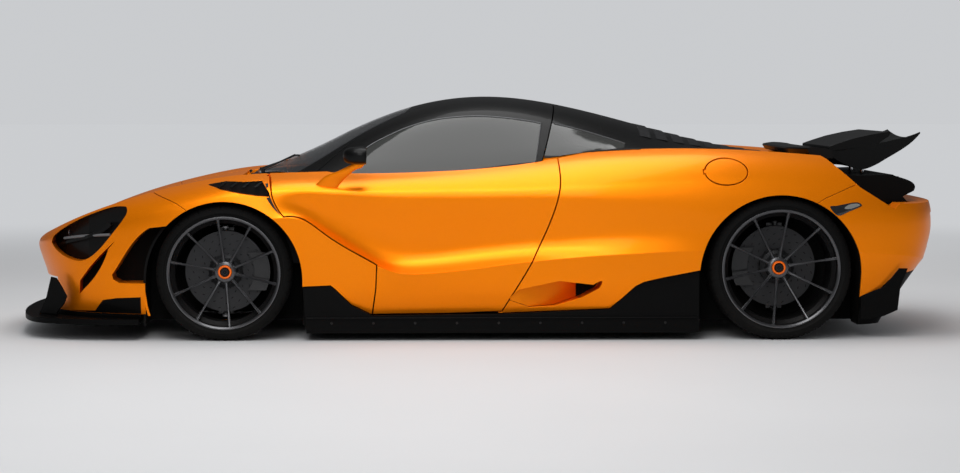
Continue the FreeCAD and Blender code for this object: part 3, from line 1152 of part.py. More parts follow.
tail_panel = box(2092, 2110 - SEAT, -690, 690, 426, 604)
bars = [box(2109, 2126, -658, 658, z, z + 7) for z in (448, 478, 508, 538)]
add_feature("tail_grille", tail_panel.fuse(bars))
lamp_bars = [box(2110, 2134, inner, inner + 300, 566, 584) for inner in (-650, 350)]
add_feature("tail_lights", Part.makeCompound(lamp_bars))

# Mirrors on the doors

head_centre = fit(-608, -962, 862)
head = Part.makeSphere(1.0)
stretch = FreeCAD.Matrix()
stretch.scale(V(62, 88, 50))
head = head.transformGeometry(stretch)
head.translate(head_centre)
head = head.cut(box(-566, -400, -1100, -700, 700, 1000))
ARM = [[(-806, 733), (-747, 710), (-690, 705)], [(-690, 705), (-671, 738), (-619, 795), (-590, 830)],
       (-640, 836), [(-640, 836), (-709, 800), (-806, 733)]]
arm_low = side_wire(ARM)
arm_low.translate(V(0, fit_y(-868), 0))
arm_high = side_wire([[(-700, 800), (-668, 790), (-640, 788)], [(-640, 788), (-625, 800), (-605, 822), (-590, 838)],
                      (-622, 842), [(-622, 842), (-665, 826), (-700, 800)]])
arm_high.translate(V(0, fit_y(-950), 0))
arm = Part.makeLoft([arm_low, arm_high], True, True)
left_mirror = add_feature("mirror_left", largest(head.fuse(arm).cut([BODY, GLASSHOUSE_OUTER])))
add_mirror("mirror_right", left_mirror)

# Cowl between hood and windscreen, and the cabin's fittings

COWL_DROP, COWL_STEP = 48, -1150
cowl_low = box(HOOD_REAR + MOVE, COWL_STEP, -TUB_HALF, TUB_HALF, TUB_TOP + SEAT, 900).common(lowered_top(COWL_DROP))
cowl_high = BODY.common(box(COWL_STEP, DASH_PANEL - SEAT, -TUB_HALF, TUB_HALF, TUB_TOP + SEAT, 900))
post_room = [box(-1215, -1165, inner, inner + 24, 0, 900) for inner in (-468, 444)]
cowl = cowl_low.fuse(cowl_high).cut([GLASSHOUSE_LINING] + post_room)
add_feature("cowl", largest(cowl))

dash_front = CABIN_FRONT + SEAT
dash_profile = [(dash_front, 500), (dash_front, 720), [(-915, 752), (-820, 764), (-740, 756), (-680, 728)],
                (-664, 660), (-720, 600), (-740, 500)]
dashboard = side_prism(dash_profile, -TUB_SIDE, TUB_SIDE)
column_axis = V(0.94, 0, 0.34)
column_axis.normalize()
wheel_centre = fit(-545, -size("seat_spread"), 705)
column_end = wheel_centre - column_axis * 95
column = rod(column_end - column_axis * 60, column_end, 32)
dashboard = dashboard.fuse([column, box(-860, -740, -tunnel, tunnel, CABIN_SILL + SEAT, 520)])
dashboard = dashboard.cut([GLASSHOUSE_OUTER.cut(GLASSHOUSE_LINING), FRONT_HOUSE, mirrored(FRONT_HOUSE),
                           rod(column_end - column_axis * 45, column_end, 18 + SEAT)])
add_feature("dashboard", largest(dashboard))

rim_radius = size("steering_wheel_diameter") / 2
grip_radius = 15
ring = Part.makeTorus(rim_radius - grip_radius, grip_radius, V(0, 0, 0), V(0, 0, 1))
boss = Part.makeCylinder(42, 30, V(0, 0, -22))
shaft = Part.makeCylinder(18, 115, V(0, 0, -135))
spokes = []
for angle in (90, 180, 270):
    spoke = Part.makeBox(rim_radius - 20, 34, 12, V(0, -17, -6))
    spoke.rotate(V(0, 0, 0), V(0, 0, 1), angle)
    spokes.append(spoke)
wheel = add_feature("steering_wheel", ring.fuse([boss, shaft] + spokes))
wheel.Placement = FreeCAD.Placement(wheel_centre, FreeCAD.Rotation(V(0, 0, 1), column_axis))

seat_foot = floor_top + SEAT
CHAIR_SIDE = [[(-330, 200), (-300, 330), (-180, 345), (20, 300), (110, 320)], [(110, 320), (180, 500), (250, 760),
              (290, 905)], (340, 905), [(340, 905), (330, 700), (270, 400), (200, 190)], (100, seat_foot),
              (-330, seat_foot)]
seat_half = size("seat_width") / 2
seats = []
for side in (-1, 1):
    face = Part.Face(side_wire(CHAIR_SIDE))
    face.translate(V(0, side * size("seat_spread") - seat_half, 0))
    block = face.extrude(V(0, 2 * seat_half, 0))
    hollow = Part.Face(side_wire([(-360, 345), [(-300, 318), (-180, 306), (0, 268), (110, 262)],
                                  [(110, 262), (190, 480), (255, 760), (280, 940)], (-200, 940)]))
    hollow.translate(V(0, side * size("seat_spread") - seat_half + 90, 0))
    seats.append(largest(block.cut(hollow.extrude(V(0, 2 * seat_half - 180, 0)))))
add_feature("seats", Part.makeCompound(seats))

# Checks, then one file for each sub-part

doc.recompute()
faults = [item.Name for item in doc.Objects if "Invalid" in item.State or "Error" in item.State]
if faults:
    raise RuntimeError("failed objects: " + ", ".join(faults))
os.makedirs("parts", exist_ok=True)
for name, item in made.items():
    shape = item.Shape
    if shape.isNull() or not shape.isValid() or not shape.Solids:
        raise RuntimeError("bad shape: " + name)
    shape.exportStep(os.path.join("parts", item.Label + ".step"))
    print(name, len(shape.Solids), round(shape.Volume / 1e6, 2))
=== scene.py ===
"""An orange mid-engined supercar in a pale studio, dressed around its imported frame.

Lengths are in metres, in the car's own frame: +X to the tail, -Y to the car's left side as the photograph
shows it, +Z up and the ground at zero. Pieces are drawn for the left side and mirrored to the right.
"""

from __future__ import annotations

import logging
import math
from collections.abc import Callable, Iterable, Sequence
from dataclasses import dataclass, field
from enum import Enum

import bmesh
import bpy
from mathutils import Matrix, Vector
from mathutils.bvhtree import BVHTree

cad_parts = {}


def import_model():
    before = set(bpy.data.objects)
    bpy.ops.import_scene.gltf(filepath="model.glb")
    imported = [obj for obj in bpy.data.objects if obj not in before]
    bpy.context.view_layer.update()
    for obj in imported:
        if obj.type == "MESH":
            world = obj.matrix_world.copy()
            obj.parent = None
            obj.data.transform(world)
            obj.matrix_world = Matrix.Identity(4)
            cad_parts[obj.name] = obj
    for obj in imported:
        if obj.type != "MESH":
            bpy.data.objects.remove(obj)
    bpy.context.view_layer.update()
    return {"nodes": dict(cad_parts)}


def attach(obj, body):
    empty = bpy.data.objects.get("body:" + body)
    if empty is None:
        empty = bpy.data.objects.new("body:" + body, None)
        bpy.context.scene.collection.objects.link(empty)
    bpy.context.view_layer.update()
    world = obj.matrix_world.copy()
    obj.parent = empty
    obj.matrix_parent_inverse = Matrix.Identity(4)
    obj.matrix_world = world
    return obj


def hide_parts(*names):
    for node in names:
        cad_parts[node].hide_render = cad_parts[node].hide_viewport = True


LOG = logging.getLogger("supercar")

Colour = tuple[float, float, float]
Profile = Sequence[tuple[float, float]]
Socket = bpy.types.NodeSocket
Source = Socket | float | tuple

BASE = "base"
LIFT = 0.0015


class Side(Enum):
    """The two sides of the car, with the sign of their Y."""

    LEFT = -1
    RIGHT = 1

    @property
    def word(self) -> str:
        """The side's name as the frame's bodies and nodes spell it."""
        return self.name.lower()


class End(Enum):
    """The two axles."""

    FRONT = "front"
    REAR = "rear"


class Slot(Enum):
    """The record's material slots."""

    PAINT = "body_paint"
    TRIM = "black_trim"
    COMPOSITE = "composite"
    GLASS = "glass"
    LAMP = "lamp"
    TAIL_LAMP = "tail_lamp"
    ALLOY = "alloy"
    CAST = "cast_metal"
    EXHAUST = "exhaust_metal"
    TYRE = "tyre"
    RIM = "rim"
    DISC = "disc"
    CABIN = "cabin_trim"
    CHAIR = "seat_trim"


# Shader graphs


class Graph:
    """A node tree that is filled node by node."""

    def __init__(self, tree: bpy.types.NodeTree) -> None:
        """Wraps a tree."""
        self.tree = tree

    def add(self, kind: str, **settings: object) -> bpy.types.Node:
        """Adds one node.

        Args:
            kind: The node's Blender type name.
            **settings: Properties to set on it.

        Returns:
            The new node.
        """
        node = self.tree.nodes.new(kind)
        for name, value in settings.items():
            setattr(node, name, value)
        return node

    def feed(self, socket: Socket, source: Source) -> None:
        """Links an output to an input, or sets the input's own value.

        Args:
            socket: The input.
            source: An output socket or a plain value.
        """
        if isinstance(source, Socket):
            self.tree.links.new(source, socket)
        else:
            socket.default_value = source

    def feed_all(self, node: bpy.types.Node, **values: Source) -> bpy.types.Node:
        """Feeds several inputs of a node.

        Args:
            node: The node.
            **values: Its inputs by name, with underscores for spaces.

        Returns:
            The node itself.
        """
        for name, value in values.items():
            self.feed(node.inputs[name.replace("_", " ")], value)
        return node

    def math(self, operation: str, *values: Source) -> Socket:
        """One math node.

        Args:
            operation: Blender's name of the operation.
            *values: Its operands.

        Returns:
            The result's socket.
        """
        node = self.add("ShaderNodeMath", operation=operation)
        for socket, value in zip(node.inputs, values):
            self.feed(socket, value)
        return node.outputs[0]

    def blend(self, factor: Source, first: Source, second: Source) -> Socket:
        """A mix of two colours.

        Args:
            factor: How much of the second shows.
            first: The colour at 0.
            second: The colour at 1.

        Returns:
            The mixed colour's socket.
        """
        node = self.add("ShaderNodeMix", data_type="RGBA")
        for index, value in ((0, factor), (6, first), (7, second)):
            self.feed(node.inputs[index], value)
        return node.outputs[2]

    def toned(self, colour: Colour, tone: Source) -> Socket:
        """A colour, brighter or darker.

        Args:
            colour: The colour.
            tone: The factor.

        Returns:
            The new colour's socket.
        """
        node = self.add("ShaderNodeVectorMath", operation="SCALE")
        node.inputs[0].default_value = colour
        return self.feed_all(node, Scale=tone).outputs[0]

    def noise(self, scale: Source, detail: float = 3.0) -> Socket:
        """Noise in the car's own frame, from its scale per metre and its octaves."""
        node = self.add("ShaderNodeTexNoise")
        return self.feed_all(node, Vector=self.place(), Scale=scale, Detail=detail).outputs["Fac"]

    def place(self) -> Socket:
        """The shaded point in the car's own frame."""
        return self.add("ShaderNodeTexCoord").outputs["Object"]

    def axes(self) -> tuple[Socket, ...]:
        """The shaded point's X, Y and Z."""
        return tuple(self.feed_all(self.add("ShaderNodeSeparateXYZ"), Vector=self.place()).outputs)

    def use(self, effect: Effect, **values: Source) -> bpy.types.bpy_prop_collection:
        """Places a shared effect, from its inputs by name, and gives its outputs."""
        return self.feed_all(self.add("ShaderNodeGroup", node_tree=effect.tree()), **values).outputs


class Surface(Graph):
    """A new material's graph, with its shader at hand."""

    def __init__(self, name: str) -> None:
        """Makes the material.

        Args:
            name: The material's name.
        """
        self.material = bpy.data.materials.new(name)
        self.material.use_nodes = True
        super().__init__(self.material.node_tree)
        self.shader = next(node for node in self.tree.nodes if node.type == "BSDF_PRINCIPLED")

    def shade(self, **values: Source) -> None:
        """Feeds the shader's inputs, by name with underscores for spaces."""
        self.feed_all(self.shader, **values)


def open_group(name: str, inputs: dict[str, float],
               outputs: Sequence[str]) -> tuple[Graph, dict[str, Socket], bpy.types.Node]:
    """Starts a shader node group with plain number sockets.

    Args:
        name: The group's name.
        inputs: Its inputs and their first values.
        outputs: Its outputs.

    Returns:
        The graph, the input sockets by name, and the output node.
    """
    tree = bpy.data.node_groups.new(name, "ShaderNodeTree")
    for label, value in inputs.items():
        socket = tree.interface.new_socket(name=label, in_out="INPUT", socket_type="NodeSocketFloat")
        socket.default_value = value
    for label in outputs:
        tree.interface.new_socket(name=label, in_out="OUTPUT", socket_type="NodeSocketFloat")
    entry, end = tree.nodes.new("NodeGroupInput"), tree.nodes.new("NodeGroupOutput")
    return Graph(tree), {socket.name: socket for socket in entry.outputs}, end


def road_dust() -> bpy.types.NodeTree:
    """Fine dust that thins out with height."""
    graph, given, end = open_group("road_dust", {"Amount": 0.2, "Reach": 0.5}, ["Mask"])
    height = graph.math("DIVIDE", graph.axes()[2], given["Reach"])
    low = graph.math("MAXIMUM", graph.math("SUBTRACT", 1.0, height), 0.0)
    patch = graph.math("MULTIPLY", graph.noise(14.0, 5.0), graph.math("POWER", low, 1.5))
    graph.feed_all(end, Mask=graph.math("MULTIPLY", patch, given["Amount"]))
    return graph.tree


def soft_mottle() -> bpy.types.NodeTree:
    """Slow drift of tone over a surface, around one."""
    graph, given, end = open_group("soft_mottle", {"Scale": 6.0, "Strength": 0.1}, ["Tone"])
    swing = graph.math("SUBTRACT", graph.noise(given["Scale"]), 0.5)
    graph.feed_all(end, Tone=graph.math("MULTIPLY_ADD", swing, given["Strength"], 1.0))
    return graph.tree


def moulded_grain() -> bpy.types.NodeTree:
    """The pebbled grain of moulded plastic, hide and suede."""
    graph, given, end = open_group("moulded_grain", {"Scale": 900.0}, ["Height"])
    cells = graph.add("ShaderNodeTexVoronoi", feature="SMOOTH_F1")
    graph.feed_all(cells, Vector=graph.place(), Scale=given["Scale"])
    fine = graph.noise(graph.math("MULTIPLY", given["Scale"], 2.0), 2.0)
    graph.feed_all(end, Height=graph.math("MULTIPLY_ADD", fine, 0.4, cells.outputs["Distance"]))
    return graph.tree


def paint_flake() -> bpy.types.NodeTree:
    """The random brightness of flakes under a clear coat."""
    graph, given, end = open_group("paint_flake", {"Scale": 2500.0, "Strength": 0.2}, ["Tone"])
    cells = graph.feed_all(graph.add("ShaderNodeTexVoronoi"), Vector=graph.place(), Scale=given["Scale"])
    split = graph.feed_all(graph.add("ShaderNodeSeparateColor"), Color=cells.outputs["Color"])
    swing = graph.math("SUBTRACT", split.outputs[0], 0.5)
    graph.feed_all(end, Tone=graph.math("MULTIPLY_ADD", swing, given["Strength"], 1.0))
    return graph.tree


def twill_weave() -> bpy.types.NodeTree:
    """A two-by-two twill of woven threads, with painted sheen: the threads that run across are darker, and
    each thread has a painted highlight along its middle.
    """
    graph, given, end = open_group("twill_weave", {"Thread": 0.002}, ["Tone", "Height"])
    x, y, z = graph.axes()
    across = graph.math("DIVIDE", x, given["Thread"])
    along = graph.math("DIVIDE", graph.math("ADD", y, z), given["Thread"])
    step = graph.math("ADD", graph.math("FLOOR", across), graph.math("FLOOR", along))
    over = graph.math("LESS_THAN", graph.math("FLOORED_MODULO", step, 4.0), 2.0)
    under = graph.math("SUBTRACT", 1.0, over)
    warp, weft = (graph.math("SINE", graph.math("MULTIPLY", graph.math("FRACT", way), math.pi))
                  for way in (along, across))
    height = graph.math("ADD", graph.math("MULTIPLY", over, warp), graph.math("MULTIPLY", under, weft))
    # Painted sheen: the under threads are half as bright, and each thread is lighter along its middle.
    tone = graph.math("MULTIPLY", graph.math("MULTIPLY_ADD", over, 0.5, 0.5),
                      graph.math("MULTIPLY_ADD", height, 0.3, 0.7))
    graph.feed_all(end, Tone=tone, Height=height)
    return graph.tree


def drilled_face() -> bpy.types.NodeTree:
    """Spiralled drill holes and turning marks round an axle that runs across the car."""
    holes, row, twist, hole_radius, turning = 16.0, 0.024, 22.0, 0.0038, 5200.0
    graph, given, end = open_group("drilled_face", {"Centre X": 0.0, "Centre Z": 0.3}, ["Hole", "Rings"])

    def length(first: Source, second: Source) -> Socket:
        """The length of a step along two axes."""
        squares = (graph.math("POWER", value, 2.0) for value in (first, second))
        return graph.math("SQRT", graph.math("ADD", *squares))

    def off_middle(value: Source) -> Socket:
        """How far a value lies from the middle of its own unit."""
        return graph.math("SUBTRACT", graph.math("FRACT", value), 0.5)

    x, _, z = graph.axes()
    across = graph.math("SUBTRACT", x, given["Centre X"])
    up = graph.math("SUBTRACT", z, given["Centre Z"])
    radius = length(across, up)
    turn = graph.math("ARCTAN2", up, across)
    spiral = graph.math("MULTIPLY_ADD", radius, twist, graph.math("MULTIPLY", turn, holes / math.tau))
    arc = graph.math("MULTIPLY", graph.math("MULTIPLY", off_middle(spiral), radius), math.tau / holes)
    out = graph.math("MULTIPLY", off_middle(graph.math("DIVIDE", radius, row)), row)
    graph.feed_all(end, Hole=graph.math("LESS_THAN", length(arc, out), hole_radius),
                   Rings=graph.math("SINE", graph.math("MULTIPLY", radius, turning)))
    return graph.tree


def worn_edge() -> bpy.types.NodeTree:
    """The thin bright line on hard edges: wear that handling leaves, and a painted highlight where the edges
    catch the light.
    """
    graph, given, end = open_group("worn_edge", {"Amount": 0.4}, ["Mask"])
    point = graph.add("ShaderNodeNewGeometry").outputs["Pointiness"]
    sharp = graph.math("MULTIPLY", graph.math("MAXIMUM", graph.math("SUBTRACT", point, 0.53), 0.0), 9.0)
    broken = graph.math("MULTIPLY", graph.math("MINIMUM", sharp, 1.0), graph.noise(40.0))
    graph.feed_all(end, Mask=graph.math("MULTIPLY", broken, given["Amount"]))
    return graph.tree


class Effect(Enum):
    """The effects that several finishes share, each a node group built once."""

    DUST = "road_dust"
    MOTTLE = "soft_mottle"
    GRAIN = "moulded_grain"
    FLAKE = "paint_flake"
    TWILL = "twill_weave"
    DRILLED = "drilled_face"
    WORN = "worn_edge"

    def tree(self) -> bpy.types.NodeTree:
        """The effect's node group, built at its first use."""
        makers = {maker.__name__: maker for maker in (road_dust, soft_mottle, moulded_grain, paint_flake,
                                                      twill_weave, drilled_face, worn_edge)}
        return bpy.data.node_groups.get(self.value) or makers[self.value]()


# Finishes


@dataclass(frozen=True)
class Finish:
    """A solid surface with grain, drifting tone and a little road dust."""

    slot: Slot
    colour: Colour
    roughness: float = 0.5
    metallic: float = 0.0
    coat: float = 0.0
    gloss: float = 0.25
    grain_scale: float = 0.0
    grain_depth: float = 0.0002
    mottle: float = 0.12
    dust: float = 0.0
    rounding: float = 0.0
    # How much hard edges are brightened, by wear and by a painted highlight.
    wear: float = 0.0
    wear_colour: Colour = (0.3, 0.3, 0.3)
    dust_colour: Colour = (0.35, 0.32, 0.28)

    def material(self, name: str) -> bpy.types.Material:
        """Builds the material.

        Args:
            name: The material's name.

        Returns:
            The new material.
        """
        surface = Surface(name)
        surface.shade(Metallic=self.metallic, Coat_Weight=self.coat, Coat_Roughness=0.05,
                      Specular_IOR_Level=self.gloss)
        self.dress(surface)
        return surface.material

    def dress(self, surface: Surface) -> None:
        """Feeds the shader's colour, roughness and normal.

        Args:
            surface: The material in the making.
        """
        colour, rough = self.base(surface), self.roughness
        if self.wear:
            # Brightens hard edges: rubbed wear, and a painted highlight along the edges.
            worn_and_lit = surface.use(Effect.WORN, Amount=self.wear)["Mask"]
            colour = surface.blend(worn_and_lit, colour, (*self.wear_colour, 1))
        if self.dust:
            dust = surface.use(Effect.DUST, Amount=self.dust)["Mask"]
            colour = surface.blend(dust, colour, (*self.dust_colour, 1))
            rough = surface.math("MULTIPLY_ADD", dust, 0.5, self.roughness)
        surface.shade(Roughness=rough, Base_Color=colour)
        self.relief(surface)

    def base(self, surface: Surface) -> Socket:
        """The colour before wear and dust."""
        return surface.toned(self.colour, surface.use(Effect.MOTTLE, Strength=self.mottle)["Tone"])

    def relief(self, surface: Surface) -> None:
        """Feeds the shader's normal with softened edges and grain.

        Args:
            surface: The material in the making.
        """
        normals = {}
        if self.rounding:
            bevel = surface.feed_all(surface.add("ShaderNodeBevel", samples=4), Radius=self.rounding)
            normals["Normal"] = bevel.outputs[0]
        if self.grain_scale:
            height = surface.use(Effect.GRAIN, Scale=self.grain_scale)["Height"]
            bump = surface.feed_all(surface.add("ShaderNodeBump"), Distance=self.grain_depth,
                                    Height=height, **normals)
            normals["Normal"] = bump.outputs[0]
        surface.shade(**normals)


@dataclass(frozen=True)
class Paint(Finish):
    """Metallic paint with flakes under a clear coat."""

    flake: float = 0.16
    drift: float = 1.2

    def base(self, surface: Surface) -> Socket:
        """The flaked colour.

        Args:
            surface: The material in the making.

        Returns:
            The colour's socket.
        """
        flake = surface.use(Effect.FLAKE, Strength=self.flake)["Tone"]
        drift = surface.use(Effect.MOTTLE, Scale=self.drift, Strength=self.mottle)["Tone"]
        return surface.toned(self.colour, surface.math("MULTIPLY", flake, drift))


@dataclass(frozen=True)
class Woven(Finish):
    """Woven composite under lacquer, with the weave's sheen painted into its colour."""

    thread: float = 0.0022

    def base(self, surface: Surface) -> Socket:
        """The woven colour, with its painted sheen."""
        return surface.toned(self.colour, surface.use(Effect.TWILL, Thread=self.thread)["Tone"])


@dataclass(frozen=True)
class Drilled(Finish):
    """A turned brake face with drill holes round its own axle, the holes painted dark as shade."""

    centre: tuple[float, float] = (0.0, 0.0)
    # The holes' colour is painted shade for their depth.
    hole_colour: Colour = (0.01, 0.01, 0.01)

    def base(self, surface: Surface) -> Socket:
        """The turned face with its holes painted dark as shade.

        Args:
            surface: The material in the making.

        Returns:
            The colour's socket.
        """
        face = surface.use(Effect.DRILLED, Centre_X=self.centre[0], Centre_Z=self.centre[1])
        turned = surface.toned(self.colour, surface.math("MULTIPLY_ADD", face["Rings"], 0.08, 1.0))
        return surface.blend(face["Hole"], turned, (*self.hole_colour, 1))


@dataclass(frozen=True)
class Pane(Finish):
    """Tinted glass, thin enough to see through."""

    alpha: float = 0.6

    def dress(self, surface: Surface) -> None:
        """Feeds the shader's colour, roughness and alpha."""
        surface.shade(Alpha=self.alpha, Roughness=self.roughness, Base_Color=self.base(surface))


@dataclass(frozen=True)
class Glow(Finish):
    """A lamp's lens with a faint light of its own."""

    light: float = 0.6

    def dress(self, surface: Surface) -> None:
        """Feeds the shader, its light too."""
        super().dress(surface)
        surface.shade(Emission_Color=(*self.colour, 1), Emission_Strength=self.light)


FRONT_AXLE, REAR_AXLE = -1.234, 1.436
FRONT_RADIUS, REAR_RADIUS = 0.325, 0.342
DISC_GREY = (0.045, 0.045, 0.047)


class Look(Enum):
    """Every finish on the car."""

    ORANGE_PAINT = Paint(Slot.PAINT, (1.0, 0.24, 0.0), 0.34, 0.62, 0.06, 0.15, mottle=0.03, rounding=0.003)
    ORANGE_METAL = Finish(Slot.PAINT, (1.0, 0.16, 0.002), 0.35, 0.3, 0.5)
    GLOSS_WEAVE = Woven(Slot.COMPOSITE, (0.0035, 0.0035, 0.0035), 0.4, 0.0, 0.1, 0.1, rounding=0.003)
    # A darker satin copy of the woven composite for the low pieces: satin carbon, with its darker colour
    # painted shade for the shade under the car.
    SATIN_WEAVE = Woven(Slot.COMPOSITE, (0.002, 0.002, 0.002), 0.6, 0.0, 0.04, 0.06, rounding=0.003)
    SATIN_PLASTIC = Finish(Slot.TRIM, (0.008, 0.008, 0.009), 0.5, grain_scale=700.0, dust=0.03,
                           rounding=0.002)
    MATT_PLASTIC = Finish(Slot.TRIM, (0.004, 0.004, 0.004), 0.8, gloss=0.1, grain_scale=500.0, dust=0.02)
    SEAL_RUBBER = Finish(Slot.TRIM, (0.008, 0.008, 0.008), 0.6, dust=0.1)
    DULL_TRIM = Finish(Slot.ALLOY, (0.12, 0.122, 0.126), 0.4, 0.8)
    BRIGHT_TRIM = Finish(Slot.ALLOY, (0.62, 0.63, 0.65), 0.22, 1.0)
    SIDE_GLASS = Pane(Slot.GLASS, (0.038, 0.039, 0.037), 0.05, mottle=0.04, coat=0.15, alpha=0.94)
    SCREEN_GLASS = Pane(Slot.GLASS, (0.03, 0.031, 0.033), 0.04, mottle=0.05, coat=0.35, alpha=0.62)
    SMOKED_LENS = Finish(Slot.LAMP, (0.012, 0.012, 0.014), 0.1, coat=1.0, dust=0.05)
    LAMP_BODY = Finish(Slot.LAMP, (0.004, 0.004, 0.004), 0.35, coat=0.1, gloss=0.1)
    LAMP_BLADE = Glow(Slot.LAMP, (0.11, 0.115, 0.12), 0.3, light=0.12)
    CLEAR_LENS = Finish(Slot.LAMP, (0.19, 0.19, 0.18), 0.15, coat=0.6)
    LENS_GLASS = Finish(Slot.LAMP, (0.3, 0.32, 0.36), 0.05, 0.7, 1.0)
    RED_LENS = Glow(Slot.TAIL_LAMP, (0.42, 0.01, 0.008), 0.15, coat=1.0, dust=0.05, light=0.35)
    RUBBER = Finish(Slot.TYRE, (0.0035, 0.0035, 0.0035), 0.75, gloss=0.08, grain_scale=420.0,
                    grain_depth=0.0003, dust=0.03)
    # The rim's hard edges are brightened: rubbed wear, and painted highlights along the spokes' edges.
    DARK_RIM = Finish(Slot.RIM, (0.085, 0.085, 0.09), 0.33, 0.85, 0.3, dust=0.02, rounding=0.0015, wear=0.3)
    BARREL_BLACK = Finish(Slot.RIM, (0.008, 0.008, 0.0085), 0.42, 0.5, dust=0.04)
    LOCK_NUT = Finish(Slot.RIM, (0.02, 0.02, 0.022), 0.4, 0.8, dust=0.1)
    FRONT_DISC = Drilled(Slot.DISC, DISC_GREY, 0.45, 0.8, dust=0.02, centre=(FRONT_AXLE, FRONT_RADIUS))
    REAR_DISC = Drilled(Slot.DISC, DISC_GREY, 0.45, 0.8, dust=0.02, centre=(REAR_AXLE, REAR_RADIUS))
    CALIPER = Finish(Slot.CAST, (0.012, 0.012, 0.013), 0.4, 0.2, 0.5, dust=0.05, rounding=0.002)
    CAST_ALLOY = Finish(Slot.CAST, (0.3, 0.3, 0.31), 0.55, 0.9, grain_scale=600.0, dust=0.3)
    ENGINE_CAST = Finish(Slot.CAST, (0.12, 0.12, 0.13), 0.5, 0.9, grain_scale=500.0, dust=0.2)
    POLISHED = Finish(Slot.ALLOY, (0.6, 0.61, 0.63), 0.18, 1.0)
    HOT_STEEL = Finish(Slot.EXHAUST, (0.32, 0.29, 0.27), 0.28, 1.0, mottle=0.5, dust=0.05)
    # Soot, and painted shade for the depth inside the tail pipes.
    SOOT = Finish(Slot.EXHAUST, (0.01, 0.01, 0.01), 0.8, dust=0.15)
    SUEDE = Finish(Slot.CABIN, (0.022, 0.022, 0.024), 0.9, grain_scale=1500.0, grain_depth=0.0004)
    HIDE = Finish(Slot.CHAIR, (0.03, 0.03, 0.032), 0.45, grain_scale=650.0, grain_depth=0.0003)
    CHAIR_WEAVE = Woven(Slot.CHAIR, (0.03, 0.03, 0.032), 0.3, 0.0, 1.0)
    STITCH = Finish(Slot.CHAIR, (0.75, 0.2, 0.01), 0.8)
    CARPET = Finish(Slot.CABIN, (0.016, 0.016, 0.017), 0.95, grain_scale=380.0, grain_depth=0.001)
    SCREEN = Glow(Slot.CABIN, (0.03, 0.045, 0.06), 0.12, coat=1.0, light=0.4)
    MIRROR = Finish(Slot.GLASS, (0.75, 0.77, 0.8), 0.02, 1.0, mottle=0.0)

    def material(self) -> bpy.types.Material:
        """The finish's material, built at its first use."""
        name = self.name.lower()
        return bpy.data.materials.get(name) or self.value.material(name)


# Meshes


def circle(count: int) -> list[tuple[float, float]]:
    """The cosines and sines of evenly spaced turns."""
    return [(math.cos(a), math.sin(a)) for a in (math.tau * step / count for step in range(count))]


def at_y(outline: Profile, y: float = 0.0) -> list[Vector]:
    """A side view's points on the upright plane at one Y."""
    return [Vector((x, y, z)) for x, z in outline]


def height_at(line: Profile, x: float) -> float:
    """The height of a side-view line at one X.

    Args:
        line: Its points as X and Z, from nose to tail.
        x: Where.

    Returns:
        The height between the two nearest points.
    """
    for (x0, z0), (x1, z1) in zip(line, line[1:]):
        if x <= x1:
            return z0 + (z1 - z0) * max(0.0, x - x0) / (x1 - x0)
    return line[-1][1]


def smooth_line(points: Sequence[Vector], steps: int = 6, closed: bool = False) -> list[Vector]:
    """A smooth line through points.

    Args:
        points: The points to pass.
        steps: How many pieces each run is cut into.
        closed: Whether it returns to its start.

    Returns:
        The line's points.
    """
    count = len(points)
    line: list[Vector] = []
    for index in range(count if closed else count - 1):
        before, start, end, after = (
            points[(index + shift) % count] if closed else points[min(max(index + shift, 0), count - 1)]
            for shift in (-1, 0, 1, 2))
        for t in (step / steps for step in range(steps)):
            line.append(0.5 * ((2 * start) + (end - before) * t
                               + (2 * before - 5 * start + 4 * end - after) * t**2
                               + (3 * start - before - 3 * end + after) * t**3))
    return line if closed else [*line, points[-1].copy()]


def placed(name: str, data: bpy.types.ID) -> bpy.types.Object:
    """Puts a new object into the scene.

    Args:
        name: The object's name.
        data: Its mesh, light or camera.

    Returns:
        The new object.
    """
    thing = bpy.data.objects.new(name, data)
    bpy.context.scene.collection.objects.link(thing)
    return thing


